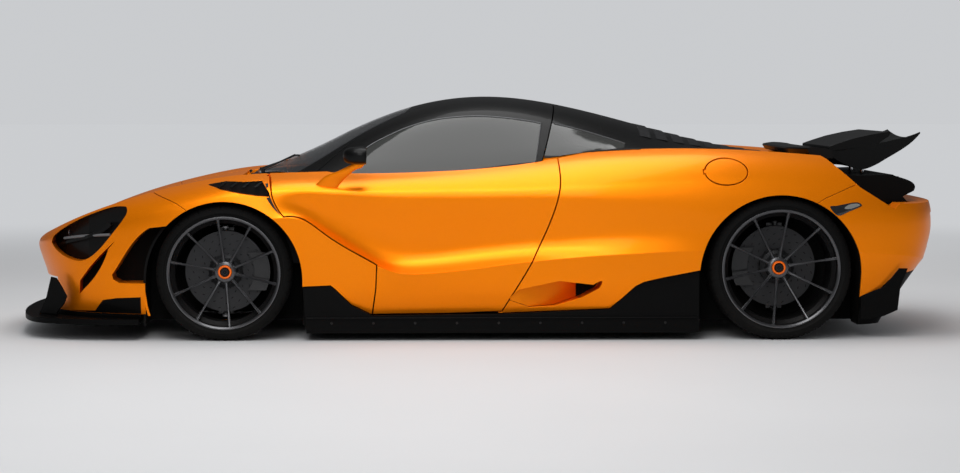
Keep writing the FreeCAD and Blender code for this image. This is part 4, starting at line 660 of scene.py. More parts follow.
@dataclass
class Form:
    """A mesh in the making."""

    points: list[Vector] = field(default_factory=list)
    faces: list[tuple[int, ...]] = field(default_factory=list)

    def add(self, points: Iterable[Vector], faces: Iterable[Sequence[int]]) -> Form:
        """Adds points and the faces between them.

        Args:
            points: The new points.
            faces: Faces that count from the first new point.

        Returns:
            The form itself.
        """
        first = len(self.points)
        self.points += [Vector(point) for point in points]
        self.faces += [tuple(first + index for index in face) for face in faces]
        return self

    def grid(self, rows: Sequence[Sequence[Vector]], wrap_rows: bool = False,
             wrap_columns: bool = False) -> Form:
        """Adds a net of four-sided faces.

        Args:
            rows: The net's points, row by row.
            wrap_rows: Whether the last row joins the first.
            wrap_columns: Whether each row is a ring.

        Returns:
            The form itself.
        """
        height, width = len(rows), len(rows[0])
        faces = []
        for row in range(height if wrap_rows else height - 1):
            here, below = row * width, (row + 1) % height * width
            for column in range(width if wrap_columns else width - 1):
                right = (column + 1) % width
                faces.append((here + column, here + right, below + right, below + column))
        return self.add([point for row in rows for point in row], faces)

    def loft(self, rings: Sequence[Sequence[Vector]], start: bool = True, end: bool = True) -> Form:
        """Adds a skin over rings.

        Args:
            rings: The rings, one after the other.
            start: Whether the first is capped.
            end: Whether the last is capped.

        Returns:
            The form itself.
        """
        first, count = len(self.points), len(rings[0])
        self.grid(rings, wrap_columns=True)
        last = len(self.points) - count
        if start:
            self.faces.append(tuple(reversed(range(first, first + count))))
        if end:
            self.faces.append(tuple(range(last, last + count)))
        return self

    def tube(self, path: Sequence[Vector], radius: float, sides: int = 8) -> Form:
        """Adds a round bar along a path.

        Args:
            path: The bar's centre line.
            radius: Its radius.
            sides: How many sides it has.

        Returns:
            The form itself.
        """
        rings = []
        up = Vector((0.13, 0.29, 0.95)).normalized()
        for index, point in enumerate(path):
            along = (path[min(index + 1, len(path) - 1)] - path[max(index - 1, 0)]).normalized()
            across = along.cross(up).normalized()
            up = across.cross(along).normalized()
            rings.append([point + (across * cos + up * sin) * radius for cos, sin in circle(sides)])
        return self.loft(rings)

    def lathe(self, profile: Profile, centre: Vector, side: Side, steps: int,
              shape: Callable[[int, int], float] = lambda step, place: 0.0) -> Form:
        """Adds a ring turned round an axle that runs across the car.

        Args:
            profile: Pairs of radius and distance outward from the centre, round a closed section.
            centre: The axle's point.
            side: Which way is outward.
            steps: How many steps the turn has.
            shape: What is added to the radius, by step and by profile point.

        Returns:
            The form itself.
        """
        rows = []
        for step, (cos, sin) in enumerate(circle(steps)):
            section = ((radius + shape(step, place), out) for place, (radius, out) in enumerate(profile))
            rows.append([centre + Vector((cos * r, side.value * out, sin * r)) for r, out in section])
        return self.grid(rows, wrap_rows=True, wrap_columns=True)

    def prism(self, outline: Sequence[Vector], shift: Sequence[float]) -> Form:
        """Adds a flat outline pulled along a line.

        Args:
            outline: The outline's points.
            shift: How far and which way.

        Returns:
            The form itself.
        """
        count = len(outline)
        turns = ((index, (index + 1) % count) for index in range(count))
        sides = [(here, ahead, count + ahead, count + here) for here, ahead in turns]
        ends = [tuple(reversed(range(count))), tuple(range(count, 2 * count))]
        return self.add([*outline, *(point + Vector(shift) for point in outline)], sides + ends)

    def block(self, low: Sequence[float], high: Sequence[float]) -> Form:
        """Adds a box between two corners, for edges that a bevel then rounds.

        Args:
            low: The lowest corner.
            high: The highest corner.

        Returns:
            The form itself.
        """
        (x0, y0, z0), (x1, y1, z1) = low, high
        foot = [Vector((x, y, z0)) for x, y in ((x0, y0), (x1, y0), (x1, y1), (x0, y1))]
        return self.prism(foot, (0, 0, z1 - z0))

    def mirrored(self) -> Form:
        """The same form on the car's other side."""
        flip = [Vector((point.x, -point.y, point.z)) for point in self.points]
        return Form(flip, [tuple(reversed(face)) for face in self.faces])

    def both(self) -> Form:
        """The form together with its twin."""
        twin = self.mirrored()
        return Form(list(self.points), list(self.faces)).add(twin.points, twin.faces)

    def piece(self, name: str, look: Look, body: str, *stands_for: str, crease: float = 35.0,
              bevel: float = 0.0) -> bpy.types.Object:
        """Makes the object and hangs it on its body.

        Args:
            name: The piece's name.
            look: Its finish.
            body: The CAD body that it moves with.
            *stands_for: CAD nodes that it replaces.
            crease: The angle in degrees above which edges stay sharp.
            bevel: The width of its edges' rounding.

        Returns:
            The new object.
        """
        mesh = bpy.data.meshes.new(name)
        mesh.from_pydata(self.points, [], self.faces)
        shape = bmesh.new()
        shape.from_mesh(mesh)
        bmesh.ops.recalc_face_normals(shape, faces=shape.faces)
        shape.to_mesh(mesh)
        shape.free()
        mesh.shade_smooth()
        mesh.set_sharp_from_angle(angle=math.radians(crease))
        mesh.materials.append(look.material())
        thing = placed(name, mesh)
        if bevel:
            edge = thing.modifiers.new("rounded_edges", "BEVEL")
            edge.width, edge.segments, edge.angle_limit = bevel, 3, math.radians(30)
        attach(thing, body)
        if stands_for:
            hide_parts(*stands_for)
        LOG.info("made %s on %s", name, body)
        return thing

    def pair(self, name: str, look: Look, body: str, *stands_for: str, **edges: float) -> None:
        """Makes the left object and its right twin, with the side's word after each name but the base's.

        Args:
            name: The pieces' name.
            look: Their finish.
            body: The CAD bodies that they move with.
            *stands_for: CAD nodes that they replace.
            **edges: The crease and bevel of a piece.
        """
        for side, form in ((Side.LEFT, self), (Side.RIGHT, self.mirrored())):
            carrier = body if body == BASE else f"{body}_{side.word}"
            replaced = (f"{node}_{side.word}" for node in stands_for)
            form.piece(f"{name}_{side.word}", look, carrier, *replaced, **edges)


class Skin:
    """The outside of some CAD nodes, to lay detail on."""

    def __init__(self, nodes: dict[str, bpy.types.Object], *names: str) -> None:
        """Gathers the nodes' faces.

        Args:
            nodes: The frame's nodes by name.
            *names: Which of them.
        """
        whole = Form()
        for name in names:
            mesh = nodes[name].data
            whole.add((vertex.co for vertex in mesh.vertices), (face.vertices for face in mesh.polygons))
        self.tree = BVHTree.FromPolygons(whole.points, whole.faces)

    def hit(self, start: Sequence[float], way: Sequence[float], lift: float = 0.0) -> Vector | None:
        """Where a ray meets the skin.

        Args:
            start: The ray's start.
            way: Its direction.
            lift: How far the result stands off the skin.

        Returns:
            The point, or None where the ray misses.
        """
        point, normal, _, _ = self.tree.ray_cast(Vector(start), Vector(way))
        if point is None:
            return None
        return point + normal * (-lift if normal.dot(Vector(way)) > 0 else lift)

    def left(self, x: float, z: float, lift: float = 0.0) -> Vector | None:
        """The left flank's point at an X and Z."""
        return self.hit((x, -1.3, z), (0, 1, 0), lift)

    def above(self, x: float, y: float, lift: float = 0.0) -> Vector | None:
        """The topmost point at an X and Y."""
        return self.hit((x, y, 1.6), (0, 0, -1), lift)

    def flank_line(self, outline: Profile, lift: float = LIFT, steps: int = 6,
                   closed: bool = False) -> list[Vector]:
        """A smooth side-view line laid on the left flank.

        Args:
            outline: Its points as X and Z.
            lift: How far it stands off the skin.
            steps: How many pieces each run is cut into.
            closed: Whether it returns to its start.

        Returns:
            The points that meet the skin.
        """
        found = (self.left(point.x, point.z, lift) for point in smooth_line(at_y(outline), steps, closed))
        return [point for point in found if point is not None]

    def flank_net(self, rows: Iterable[Profile]) -> Form:
        """A net laid on the left flank, from rows of X and Z, without the rows that miss it."""
        laid = ([self.left(x, z, LIFT) for x, z in row] for row in rows)
        return Form().grid([row for row in laid if None not in row])


# The studio


@dataclass(frozen=True)
class Softbox:
    """A large soft lamp."""

    name: str
    place: tuple[float, float, float]
    aim: tuple[float, float, float]
    width: float
    height: float
    power: float
    mirrored: bool = True

    def build(self) -> None:
        """Makes the lamp."""
        light = bpy.data.lights.new(self.name, "AREA")
        light.shape = "RECTANGLE"
        light.size, light.size_y, light.energy = self.width, self.height, self.power
        lamp = placed(self.name, light)
        lamp.visible_glossy = self.mirrored
        lamp.location = self.place
        lamp.rotation_euler = (Vector(self.aim) - Vector(self.place)).to_track_quat("-Z", "X").to_euler()


@dataclass(frozen=True)
class Studio:
    """The pale floor, soft lamps and the camera at the photograph's place."""

    eye: tuple[float, float, float] = (-0.339, -12.95, 1.189)
    focal_pixels: float = 2518.0
    image: tuple[int, int] = (960, 473)
    horizon: tuple[float, float] = (411.0, 92.0)
    floor_half: float = 80.0
    floor_colour: Colour = (0.6, 0.6, 0.605)
    fade: tuple[float, float] = (3.5, 11.0)
    sky: Colour = (0.95, 0.97, 1.0)
    sky_strength: float = 0.62
    soft_strength: float = 0.42
    gloss_strength: float = 0.10
    softboxes: tuple[Softbox, ...] = (
        Softbox("overhead", (-0.3, -1.2, 5.2), (-0.1, -0.4, 0.6), 8.5, 2.6, 270.0),
        Softbox("flank", (-0.8, -8.5, 5.4), (0.0, -0.6, 0.5), 8.0, 2.4, 265.0),
        Softbox("far_side", (1.5, 6.5, 4.2), (0.0, 0.6, 0.7), 6.0, 2.4, 120.0, False),
    )

    def build(self) -> None:
        """Makes the whole studio."""
        self.camera()
        self.floor()
        self.world()
        for softbox in self.softboxes:
            softbox.build()
        bpy.context.scene.view_settings.view_transform = "Standard"
        LOG.info("studio is lit")

    def camera(self) -> None:
        """The camera, turned so that the photograph's centre is its own."""
        lens = bpy.data.cameras.new("photograph_view")
        lens.sensor_width = 36.0
        lens.lens = self.focal_pixels * lens.sensor_width / self.image[0]
        lens.clip_end = 200.0
        camera = placed("photograph_view", lens)
        camera.location = self.eye
        across, down = ((size / 2 - far) / self.focal_pixels for size, far in zip(self.image, self.horizon))
        camera.rotation_euler = Vector((across, 1.0, -down)).to_track_quat("-Z", "Y").to_euler()
        bpy.context.scene.camera = camera

    def floor(self) -> None:
        """A plain pale floor that fades into the surround."""
        half = self.floor_half
        corners = [(-half, -half, 0), (half, -half, 0), (half, half, 0), (-half, half, 0)]
        mesh = bpy.data.meshes.new("studio_floor")
        mesh.from_pydata(corners, [], [(0, 1, 2, 3)])
        surface = Surface("pale_floor")
        tone = surface.use(Effect.MOTTLE, Scale=0.7, Strength=0.06)["Tone"]
        away = surface.add("ShaderNodeVectorMath", operation="LENGTH")
        surface.feed(away.inputs[0], surface.place())
        fade = surface.feed_all(surface.add("ShaderNodeMapRange", interpolation_type="SMOOTHSTEP"),
                                Value=away.outputs["Value"], From_Min=self.fade[0], From_Max=self.fade[1])
        far = fade.outputs["Result"]
        colour = surface.blend(far, surface.toned(self.floor_colour, tone), (0.0, 0.0, 0.0, 1))
        surface.shade(Roughness=0.6, Specular_IOR_Level=0.15, Base_Color=colour,
                      Emission_Color=(*self.sky, 1),
                      Emission_Strength=surface.math("MULTIPLY", far, self.sky_strength))
        mesh.materials.append(surface.material)
        placed("studio_floor", mesh)

    def world(self) -> None:
        """A pale surround that lights softly and shows pale to the camera and in gloss."""
        world = bpy.data.worlds.new("pale_surround")
        bpy.context.scene.world = world
        world.use_nodes = True
        graph = Graph(world.node_tree)
        background = next(node for node in world.node_tree.nodes if node.type == "BACKGROUND")
        ray = graph.add("ShaderNodeLightPath").outputs
        straight = graph.math("MAXIMUM", ray["Is Camera Ray"], ray["Is Transmission Ray"])
        soft = graph.math("MULTIPLY", ray["Is Diffuse Ray"], self.soft_strength)
        lit = graph.math("MULTIPLY_ADD", straight, self.sky_strength, soft)
        strength = graph.math("MULTIPLY_ADD", ray["Is Glossy Ray"], self.gloss_strength, lit)
        graph.feed_all(background, Color=(*self.sky, 1), Strength=strength)


# The car


def sided(*names: str) -> tuple[str, ...]:
    """Each name with both sides' words."""
    return tuple(f"{name}_{side.word}" for name in names for side in Side)


DRESS: dict[Look, tuple[str, ...]] = {
    Look.ORANGE_PAINT: ("front_bumper", "hood", "fuel_flap", "rear_bumper",
                        *sided("front_fender", "door_skin", "rear_quarter")),
    Look.GLOSS_WEAVE: ("roof_frame", "engine_cover", "rear_wing", "rear_spoiler", "fender_vents",
                       *sided("door_frame")),
    # The low pieces take the darker satin composite, darkened as painted shade.
    Look.SATIN_WEAVE: ("front_splitter", "side_skirts", "diffuser", "tail_deck"),
    Look.SATIN_PLASTIC: ("cowl", "front_grille", "tail_grille"),
    Look.MATT_PLASTIC: ("nose_duct_liners",),
    Look.SIDE_GLASS: ("quarter_windows", *sided("door_glass")),
    Look.SCREEN_GLASS: ("windscreen",),
    Look.LAMP_BODY: ("headlights",),
    Look.RED_LENS: ("tail_lights",),
    Look.FRONT_DISC: sided("brake_disc_front"),
    Look.REAR_DISC: sided("brake_disc_rear"),
    Look.CALIPER: ("rear_suspension", *sided("front_knuckle")),
    Look.CAST_ALLOY: ("suspension_arms",),
    Look.ENGINE_CAST: ("engine", "rear_frame"),
    Look.HOT_STEEL: ("exhausts",),
    Look.CARPET: ("front_tub", "cabin_tub"),
    Look.SUEDE: ("dashboard", "steering_wheel"),
    Look.HIDE: ("seats",),
}


@dataclass(frozen=True)
class Assembly:
    """A sub-assembly that is laid on the frame's nodes."""

    nodes: dict[str, bpy.types.Object]

    def skin(self, *names: str) -> Skin:
        """The outside of some of the frame's nodes."""
        return Skin(self.nodes, *names)


@dataclass(frozen=True)
class Panels(Assembly):
    """The CAD nodes that show as they are."""

    def build(self) -> None:
        """Gives every carried-over node its finish."""
        for look, names in DRESS.items():
            for name in names:
                materials = self.nodes[name].data.materials
                materials.clear()
                materials.append(look.material())
        LOG.info("dressed %d nodes", sum(len(names) for names in DRESS.values()))


@dataclass(frozen=True)
class Wheel:
    """One wheel: a treaded tyre, a deep barrel, slim spokes and a centre lock.

    Sections are pairs of radius and distance outward. The bead, wells and lip count outward from the rim's
    radius and inward from the tyre's flank, the shoulder counts inward from the tyre's radius and flank, and
    the hub and the lock count outward from the hub's face.
    """

    side: Side
    end: End
    axle: float
    radius: float
    width: float
    rim: float
    middle: float
    phase: float
    hub_inset: float = 0.098
    spokes: int = 10
    spoke_steps: int = 14
    spoke_root: float = 0.042
    spoke_deep: float = 0.026
    bead: Profile = ((0.0, 0.016), (0.006, 0.0125), (0.010, 0.0105), (0.012, 0.0075), (0.016, 0.007),
                     (0.018, 0.0065), (0.022, 0.005))
    shoulder: Profile = ((0.040, 0.0022), (0.037, 0.001), (0.030, 0.0035), (0.020, 0.009), (0.012, 0.016),
                         (0.008, 0.021), (0.004, 0.028), (0.001, 0.036))
    groove_half: float = 0.0055
    groove_depth: float = 0.0065
    grooves: tuple[float, ...] = (0.60, 0.22, -0.22, -0.60)
    tyre_steps: int = 288
    outer_well: Profile = ((-0.0005, 0.0162), (-0.0005, 0.045), (-0.020, 0.060))
    inner_well: Profile = ((-0.020, 0.060), (-0.0005, 0.045), (-0.0005, 0.0162), (0.009, 0.0098),
                           (0.009, 0.005), (-0.005, 0.007), (-0.006, 0.042), (-0.0255, 0.056))
    under_well: Profile = ((-0.0255, 0.064), (-0.008, 0.044), (-0.0055, 0.0162))
    lip: Profile = ((0.0092, 0.005), (0.0092, 0.0098), (-0.0005, 0.0161), (-0.0050, 0.0161), (-0.0035, 0.010),
                    (0.0005, 0.0065), (0.004, 0.0045))
    hub: Profile = ((0.0325, -0.045), (0.060, -0.045), (0.060, -0.020), (0.052, -0.006), (0.045, -0.001),
                    (0.0345, 0.0), (0.0325, -0.002))
    lock_ring: Profile = ((0.0225, -0.004), (0.0225, 0.008), (0.024, 0.011), (0.030, 0.011), (0.033, 0.008),
                          (0.033, -0.004))
    lock_nut: Profile = ((0.003, -0.012), (0.022, -0.012), (0.0222, 0.001), (0.022, 0.012), (0.019, 0.016),
                         (0.011, 0.016), (0.010, 0.008), (0.003, 0.008))

    @property
    def half(self) -> float:
        """Half the tyre's width."""
        return self.width / 2

    @property
    def face(self) -> float:
        """How far out the hub's face lies."""
        return self.width / 2 - self.hub_inset

    @property
    def centre(self) -> Vector:
        """The wheel's middle."""
        return Vector((self.axle, self.side.value * self.middle, self.radius))

    def build(self) -> None:
        """Makes the wheel's pieces."""
        tag = f"{self.end.value}_{self.side.word}"
        body = "wheel_" + tag
        self.tyre().piece("tread_" + tag, Look.RUBBER, body, "tyre_" + tag, crease=28.0)
        self.barrel().piece("wheel_barrel_" + tag, Look.BARREL_BLACK, body)
        self.star().piece("wheel_face_" + tag, Look.DARK_RIM, body, "rim_" + tag, crease=32.0)
        self.turned(self.from_face(self.lock_ring), 48).piece("lock_ring_" + tag, Look.ORANGE_METAL, body)

        def flute(step: int, place: int) -> float:
            """The nut's flats."""
            return -0.002 if step % 6 < 3 and place in (2, 3, 4) else 0.0

        self.turned(self.from_face(self.lock_nut), 72, flute).piece("lock_nut_" + tag, Look.LOCK_NUT, body)

    def turned(self, profile: Profile, steps: int, *shape: Callable[[int, int], float]) -> Form:
        """A form turned round the wheel's own axle, as Form.lathe takes it."""
        return Form().lathe(profile, self.centre, self.side, steps, *shape)

    def from_face(self, section: Profile) -> Profile:
        """A section that counts from the hub's face, from the wheel's middle."""
        return [(radius, self.face + out) for radius, out in section]

    def tyre(self) -> Form:
        """A tyre with ribs, grooves and shoulder blocks."""
        half, r, rim, groove, deep = self.half, self.radius, self.rim, self.groove_half, self.groove_depth
        wall = [(rim + up, half - inset) for up, inset in self.bead]
        wall += [(r - down, half - inset) for down, inset in self.shoulder]
        tread: list[tuple[float, float]] = []
        for middle in (share * (half - 0.02) for share in self.grooves):
            tread += [(r, middle + groove + 0.001), (r - deep, middle + groove - 0.001),
                      (r - deep, middle - groove + 0.001), (r, middle - groove - 0.001)]
        other = [(radius, -out) for radius, out in reversed(wall)]
        inside = [(rim + 0.03, -half + 0.03), (rim + 0.03, half - 0.03)]
        profile = [*wall, *tread, *other, *inside]
        first, last = len(wall) - 4, len(wall) + len(tread) + 4

        def block(step: int, place: int) -> float:
            """The slots across the shoulders and ribs."""
            if not first <= place < last:
                return 0.0
            out = abs(profile[place][1])
            phase = (step + round(out * 60)) % 8
            return -0.0045 if phase == 0 and out > 0.62 * half else -0.002 if phase == 4 else 0.0

        return self.turned(profile, self.tyre_steps, block)

    def barrel(self) -> Form:
        """The deep barrel behind the spokes."""
        wells = ((self.outer_well, 1), (self.inner_well, -1), (self.under_well, 1))
        return self.turned([(self.rim + up, sign * (self.half - inset)) for well, sign in wells
                            for up, inset in well], 144)

    def star(self) -> Form:
        """The rim's outer lip, the hub, and ten slim spokes between them."""
        form = self.turned([(self.rim + up, self.half - inset) for up, inset in self.lip], 144)
        form.lathe(self.from_face(self.hub), self.centre, self.side, 72)
        for index in range(self.spokes):
            form.loft(self.spoke(math.radians(self.phase) + math.tau * index / self.spokes))
        return form

    def spoke(self, turn: float) -> list[list[Vector]]:
        """One spoke's sections, waisted and flared where it meets the lip.

        Args:
            turn: Its angle.

        Returns:
            The sections' points.
        """
        start, end = self.spoke_root, self.rim - 0.002
        cos, sin = math.cos(turn), math.sin(turn)
        along, across = Vector((cos, 0, sin)), Vector((-sin, 0, cos))
        rings = []
        for t in (step / self.spoke_steps for step in range(self.spoke_steps + 1)):
            out = self.face - 0.004 + (self.half - 0.0095 - self.face + 0.004) * t**1.35
            width = 0.0095 - 0.0040 * math.sin(math.pi * min(1.0, t * 1.1)) - 0.002 * t
            deep = self.spoke_deep - 0.012 * t
            middle = self.centre + along * (start + (end - start) * t)
            rings.append([middle + across * (width * share) + Vector((0, self.side.value * (out - drop), 0))
                          for share, drop in ((-1.0, 0.003), (-0.62, 0.0), (-0.3, 0.004), (0.3, 0.004),
                                              (0.62, 0.0), (1.0, 0.003), (0.8, deep), (-0.8, deep))])
        return rings


AXLES = ((End.FRONT, FRONT_AXLE, FRONT_RADIUS, 0.240, 0.262, 0.825, 24.0),
         (End.REAR, REAR_AXLE, REAR_RADIUS, 0.300, 0.276, 0.805, 10.5))


@dataclass(frozen=True)
class ArchLiner:
    """The dark shell inside one pair of wheel arches, whose ends reach down as painted shade for the shadow
    under the car.
    """

    end: End
    axle: float
    height: float
    radius: float
    lip_radius: float
    inner: float
    lip_from: float
    # The liner's ends reach down to this height: a dark flap of painted shade for the shadow ahead of and
    # behind the wheel.
    foot: float = 0.07
    foot_level: float = 0.20
    clear: float = 0.0015
    lip: float = 0.012
    steps: int = 40

    def build(self, skin: Skin) -> None:
        """Makes both liners.

        Args:
            skin: The painted panels round the arch.
        """
        turns = (math.pi * step / self.steps for step in range(self.steps + 1))
        arch = [(-math.cos(a), math.sin(a), False) for a in turns]
        beyond = self.lip_radius + 0.006
        rows = []
        for across, up, at_foot in ((-1.0, 0.0, True), *arch, (1.0, 0.0, True)):
            level = self.foot_level if at_foot else self.height + up * beyond
            outer = self.edge(skin.left(self.axle + across * beyond, level))
            row = []
            for radius, y in ((self.radius, self.inner + 0.002), (self.radius, self.lip_from - 0.002),
                              (self.lip_radius, self.lip_from), (self.lip_radius, outer)):
                reach = radius - self.clear
                z = self.foot if at_foot else self.height + up * reach
                row.append(Vector((self.axle + across * reach, -max(y, self.inner), z)))
            rows.append(row)
        wall = [Vector((self.axle, -(self.inner + 0.002), self.foot))] + [row[0] for row in rows]
        form = Form().grid(rows).add(wall, [(0, index, index + 1) for index in range(1, len(wall) - 1)])
        form.pair("arch_liner_" + self.end.value, Look.MATT_PLASTIC, BASE)

    def edge(self, point: Vector | None) -> float:
        """How far out the liner reaches, behind the panels' point or where they end."""
        short = point is None or -point.y < self.lip_from + 0.01
        return self.lip_from + 0.002 if short else -point.y - self.lip


LINERS = (ArchLiner(End.FRONT, FRONT_AXLE, 0.291, 0.388, 0.376, 0.535, 0.885),
          ArchLiner(End.REAR, REAR_AXLE, 0.303, 0.393, 0.393, 0.600, 0.800))


@dataclass(frozen=True)
class Glasshouse(Assembly):
    """What frames the windows, and the wipers."""

    door_window: Profile = ((-0.640, 0.786), (-0.604, 0.860), (-0.559, 0.914), (-0.462, 0.969),
                            (-0.345, 1.019), (-0.229, 1.051), (-0.111, 1.066), (0.005, 1.070),
                            (0.122, 1.062), (0.239, 1.047), (0.301, 1.034))
    quarter_window: Profile = ((0.352, 1.036), (0.494, 1.003), (0.615, 0.967), (0.712, 0.936))
    door_pillar: Profile = ((0.301, 1.034), (0.284, 0.945), (0.266, 0.852))
    wiper_places: tuple[tuple[float, float, float], ...] = ((-1.075, -0.34, -0.93), (-1.105, 0.06, -0.985))
    wiper_reach: float = 0.30
    blade_length: float = 0.5
    blade_skew: float = 0.07
    bar: float = 0.0045

    def build(self) -> None:
        """Makes the trims, the wipers and the inner mirror."""
        door = self.skin("door_frame_left", "door_glass_left")
        roof = self.skin("roof_frame", "quarter_windows")
        for name, skin, line, radius, body in (("window_trim", door, self.door_window, 0.0026, "door"),
                                               ("pillar_trim", door, self.door_pillar, 0.003, "door"),
                                               ("quarter_trim", roof, self.quarter_window, 0.0026, BASE)):
            Form().tube(skin.flank_line(line), radius).pair(name, Look.DULL_TRIM, body)
        self.wipers(self.skin("windscreen", "cowl")).piece("wipers", Look.SATIN_PLASTIC, BASE)
        outline = [Vector((-0.395, cos * 0.11, 1.005 + sin * 0.030)) for cos, sin in circle(32)]
        mirror = Form().prism(outline, (-0.022, 0, 0.006))
        mirror.tube(at_y(((-0.405, 1.02), (-0.415, 1.06))), 0.007)
        mirror.piece("inner_mirror", Look.SATIN_PLASTIC, BASE, bevel=0.004)

    def wipers(self, glass: Skin) -> Form:
        """Two wipers parked along the foot of the windscreen.

        Args:
            glass: The windscreen and what lies ahead of it.

        Returns:
            Both wipers.
        """
        form = Form()
        for x, y, tip_x in self.wiper_places:
            tip, root = glass.above(tip_x, y + self.wiper_reach, 0.008), glass.above(x, y, 0.006)
            form.tube([root, root.lerp(tip, 0.5), tip], self.bar)
            blade = (glass.above(tip.x - self.blade_skew * share, tip.y + self.blade_length * share, 0.005)
                     for share in (-0.5, -0.3, -0.1, 0.1, 0.3, 0.5))
            form.tube([point for point in blade if point is not None], self.bar)
            form.tube([root - Vector((0, 0, 0.02)), root + Vector((0, 0, 0.004))], 0.011, 16)
        return form


@dataclass(frozen=True)
class Flanks(Assembly):
    """The seals, vents and black blades of the flanks."""

    belt: tuple[tuple[str, str, str, float, float], ...] = (
        ("door_seal", "door_skin_left", "door", -0.60, 0.25),
        ("quarter_seal", "rear_quarter_left", BASE, 0.37, 0.78))
    belt_top: float = 0.99
    belt_step: float = 0.0015
    belt_out: float = -0.68
    half_body: float = 0.93
    vent_top: Profile = ((0.119, 0.197), (0.181, 0.245), (0.371, 0.286), (0.533, 0.268), (0.575, 0.284))
    vent_foot: Profile = ((0.119, 0.197), (0.229, 0.159), (0.348, 0.166), (0.475, 0.205), (0.560, 0.250),
                          (0.575, 0.284))
    vent_ramp: tuple[float, float] = (0.135, 0.470)
    vent_end: float = 0.566
    vent_floor: float = 0.797
    blade: Profile = ((-2.163, 0.105), (-2.120, 0.190), (-2.092, 0.292), (-2.062, 0.288), (-2.030, 0.245),
                      (-2.004, 0.203), (-2.020, 0.166), (-2.055, 0.127), (-2.060, 0.105))
    blade_root: float = -0.60
    blade_splay: float = 1.07
    tail_lines: tuple[Profile, Profile] = (
        ((-1.062, 0.752), (-1.034, 0.695), (-1.004, 0.648), (-0.966, 0.606)),
        ((-1.022, 0.752), (-1.012, 0.700), (-0.994, 0.653), (-0.962, 0.604)))
    chin: Profile = ((-1.990, 0.130), (-1.863, 0.137), (-1.821, 0.191), (-1.750, 0.2025), (-1.670, 0.207),
                     (-1.6195, 0.210))
    chin_foot: float = 0.1285
    flick: Profile = ((-1.640, 0.262), (-1.612, 0.262), (-1.607, 0.222), (-1.599, 0.168), (-1.586, 0.120),
                      (-1.597, 0.120), (-1.612, 0.168), (-1.619, 0.212), (-1.640, 0.216))

    def build(self) -> None:
        """Makes the flanks' pieces."""
        for name, node, body, start, end in self.belt:
            Form().tube(self.seam(self.skin(node), start, end), 0.0045).pair(name, Look.SEAL_RUBBER, body)
        self.vents(self.skin("rear_quarter_left"))
        self.blades(self.skin("front_bumper"))
        ends = zip(*(smooth_line(at_y(line), 5) for line in self.tail_lines))
        rows = ([near.lerp(far, part / 3).xz for part in range(4)] for near, far in ends)
        tails = self.skin("front_fender_left").flank_net(rows)
        tails.both().piece("vent_tails", Look.SATIN_PLASTIC, BASE)

    def seam(self, skin: Skin, start: float, end: float) -> list[Vector]:
        """The upper edge of a painted panel under the glass.

        Args:
            skin: The panel.
            start: The seam's first X.
            end: Its last X.

        Returns:
            The seam's points.
        """
        line = []
        for x in (start + (end - start) * step / 30 for step in range(31)):
            hits = (skin.left(x, self.belt_top - self.belt_step * drop, 0.001) for drop in range(160))
            outer = (point for point in hits if point is not None and point.y < self.belt_out)
            line.append(next(outer, None))
        return [point for point in line if point is not None]

    def flank_y(self, skin: Skin, x: float, z: float) -> float:
        """The left flank's Y at an X and Z, or the body's own where the ray misses."""
        point = skin.left(x, z)
        return point.y if point is not None else -self.half_body

    def vents(self, skin: Skin) -> None:
        """A painted ramp in each rear flank, and a black panel of painted shade where the ramp leads into the
        shadowed duct.

        Args:
            skin: The quarter panel.
        """
        start, deep = self.vent_ramp
        ramp, duct = [], []
        for x in (start + (self.vent_end - start) * step / 24 for step in range(25)):
            low, high = height_at(self.vent_foot, x) + 0.002, height_at(self.vent_top, x) - 0.002
            outer = -self.flank_y(skin, x, high + 0.006)
            share = min(1.0, (x - start) / (deep - start))
            y = outer - 0.004 - (outer - 0.004 - self.vent_floor) * share
            row = [Vector((x, -y, low + (high - low) * part / 4)) for part in range(5)]
            (ramp if x <= deep else duct).append(row)
        duct.insert(0, [point + Vector((0, -0.002, 0)) for point in ramp[-1]])
        Form().grid(ramp).both().piece("vent_ramps", Look.ORANGE_PAINT, BASE)
        # The duct's black panel is painted shade for the shadow inside the opening.
        Form().grid(duct).both().piece("vent_ducts", Look.MATT_PLASTIC, BASE)

    def blades(self, skin: Skin) -> None:
        """The blades at the splitter's corners, the black chin over it and the flicks behind.

        Args:
            skin: The front bumper.
        """
        first, foot = self.blade[0][0], self.chin_foot
        outline = [Vector((x, self.blade_root - (x - first) * self.blade_splay, z)) for x, z in self.blade]
        corner = Form().prism(outline, (0.004, 0.008, 0)).both()
        corner.piece("corner_blades", Look.SATIN_WEAVE, BASE, bevel=0.002)
        tops = ((x0 + (x1 - x0) * part / 4, z0 + (z1 - z0) * part / 4)
                for (x0, z0), (x1, z1) in zip(self.chin, self.chin[1:]) for part in range(4))
        chin = skin.flank_net([(x, foot + (z - foot) * part / 4) for part in range(5)] for x, z in tops)
        chin.both().piece("chin_guards", Look.SATIN_WEAVE, BASE)
        turn = at_y(self.flick, self.flank_y(skin, -1.655, 0.24) - 0.003)
        Form().prism(turn, (0, 0.006, 0)).both().piece("bumper_flicks", Look.ORANGE_PAINT, BASE, bevel=0.001)


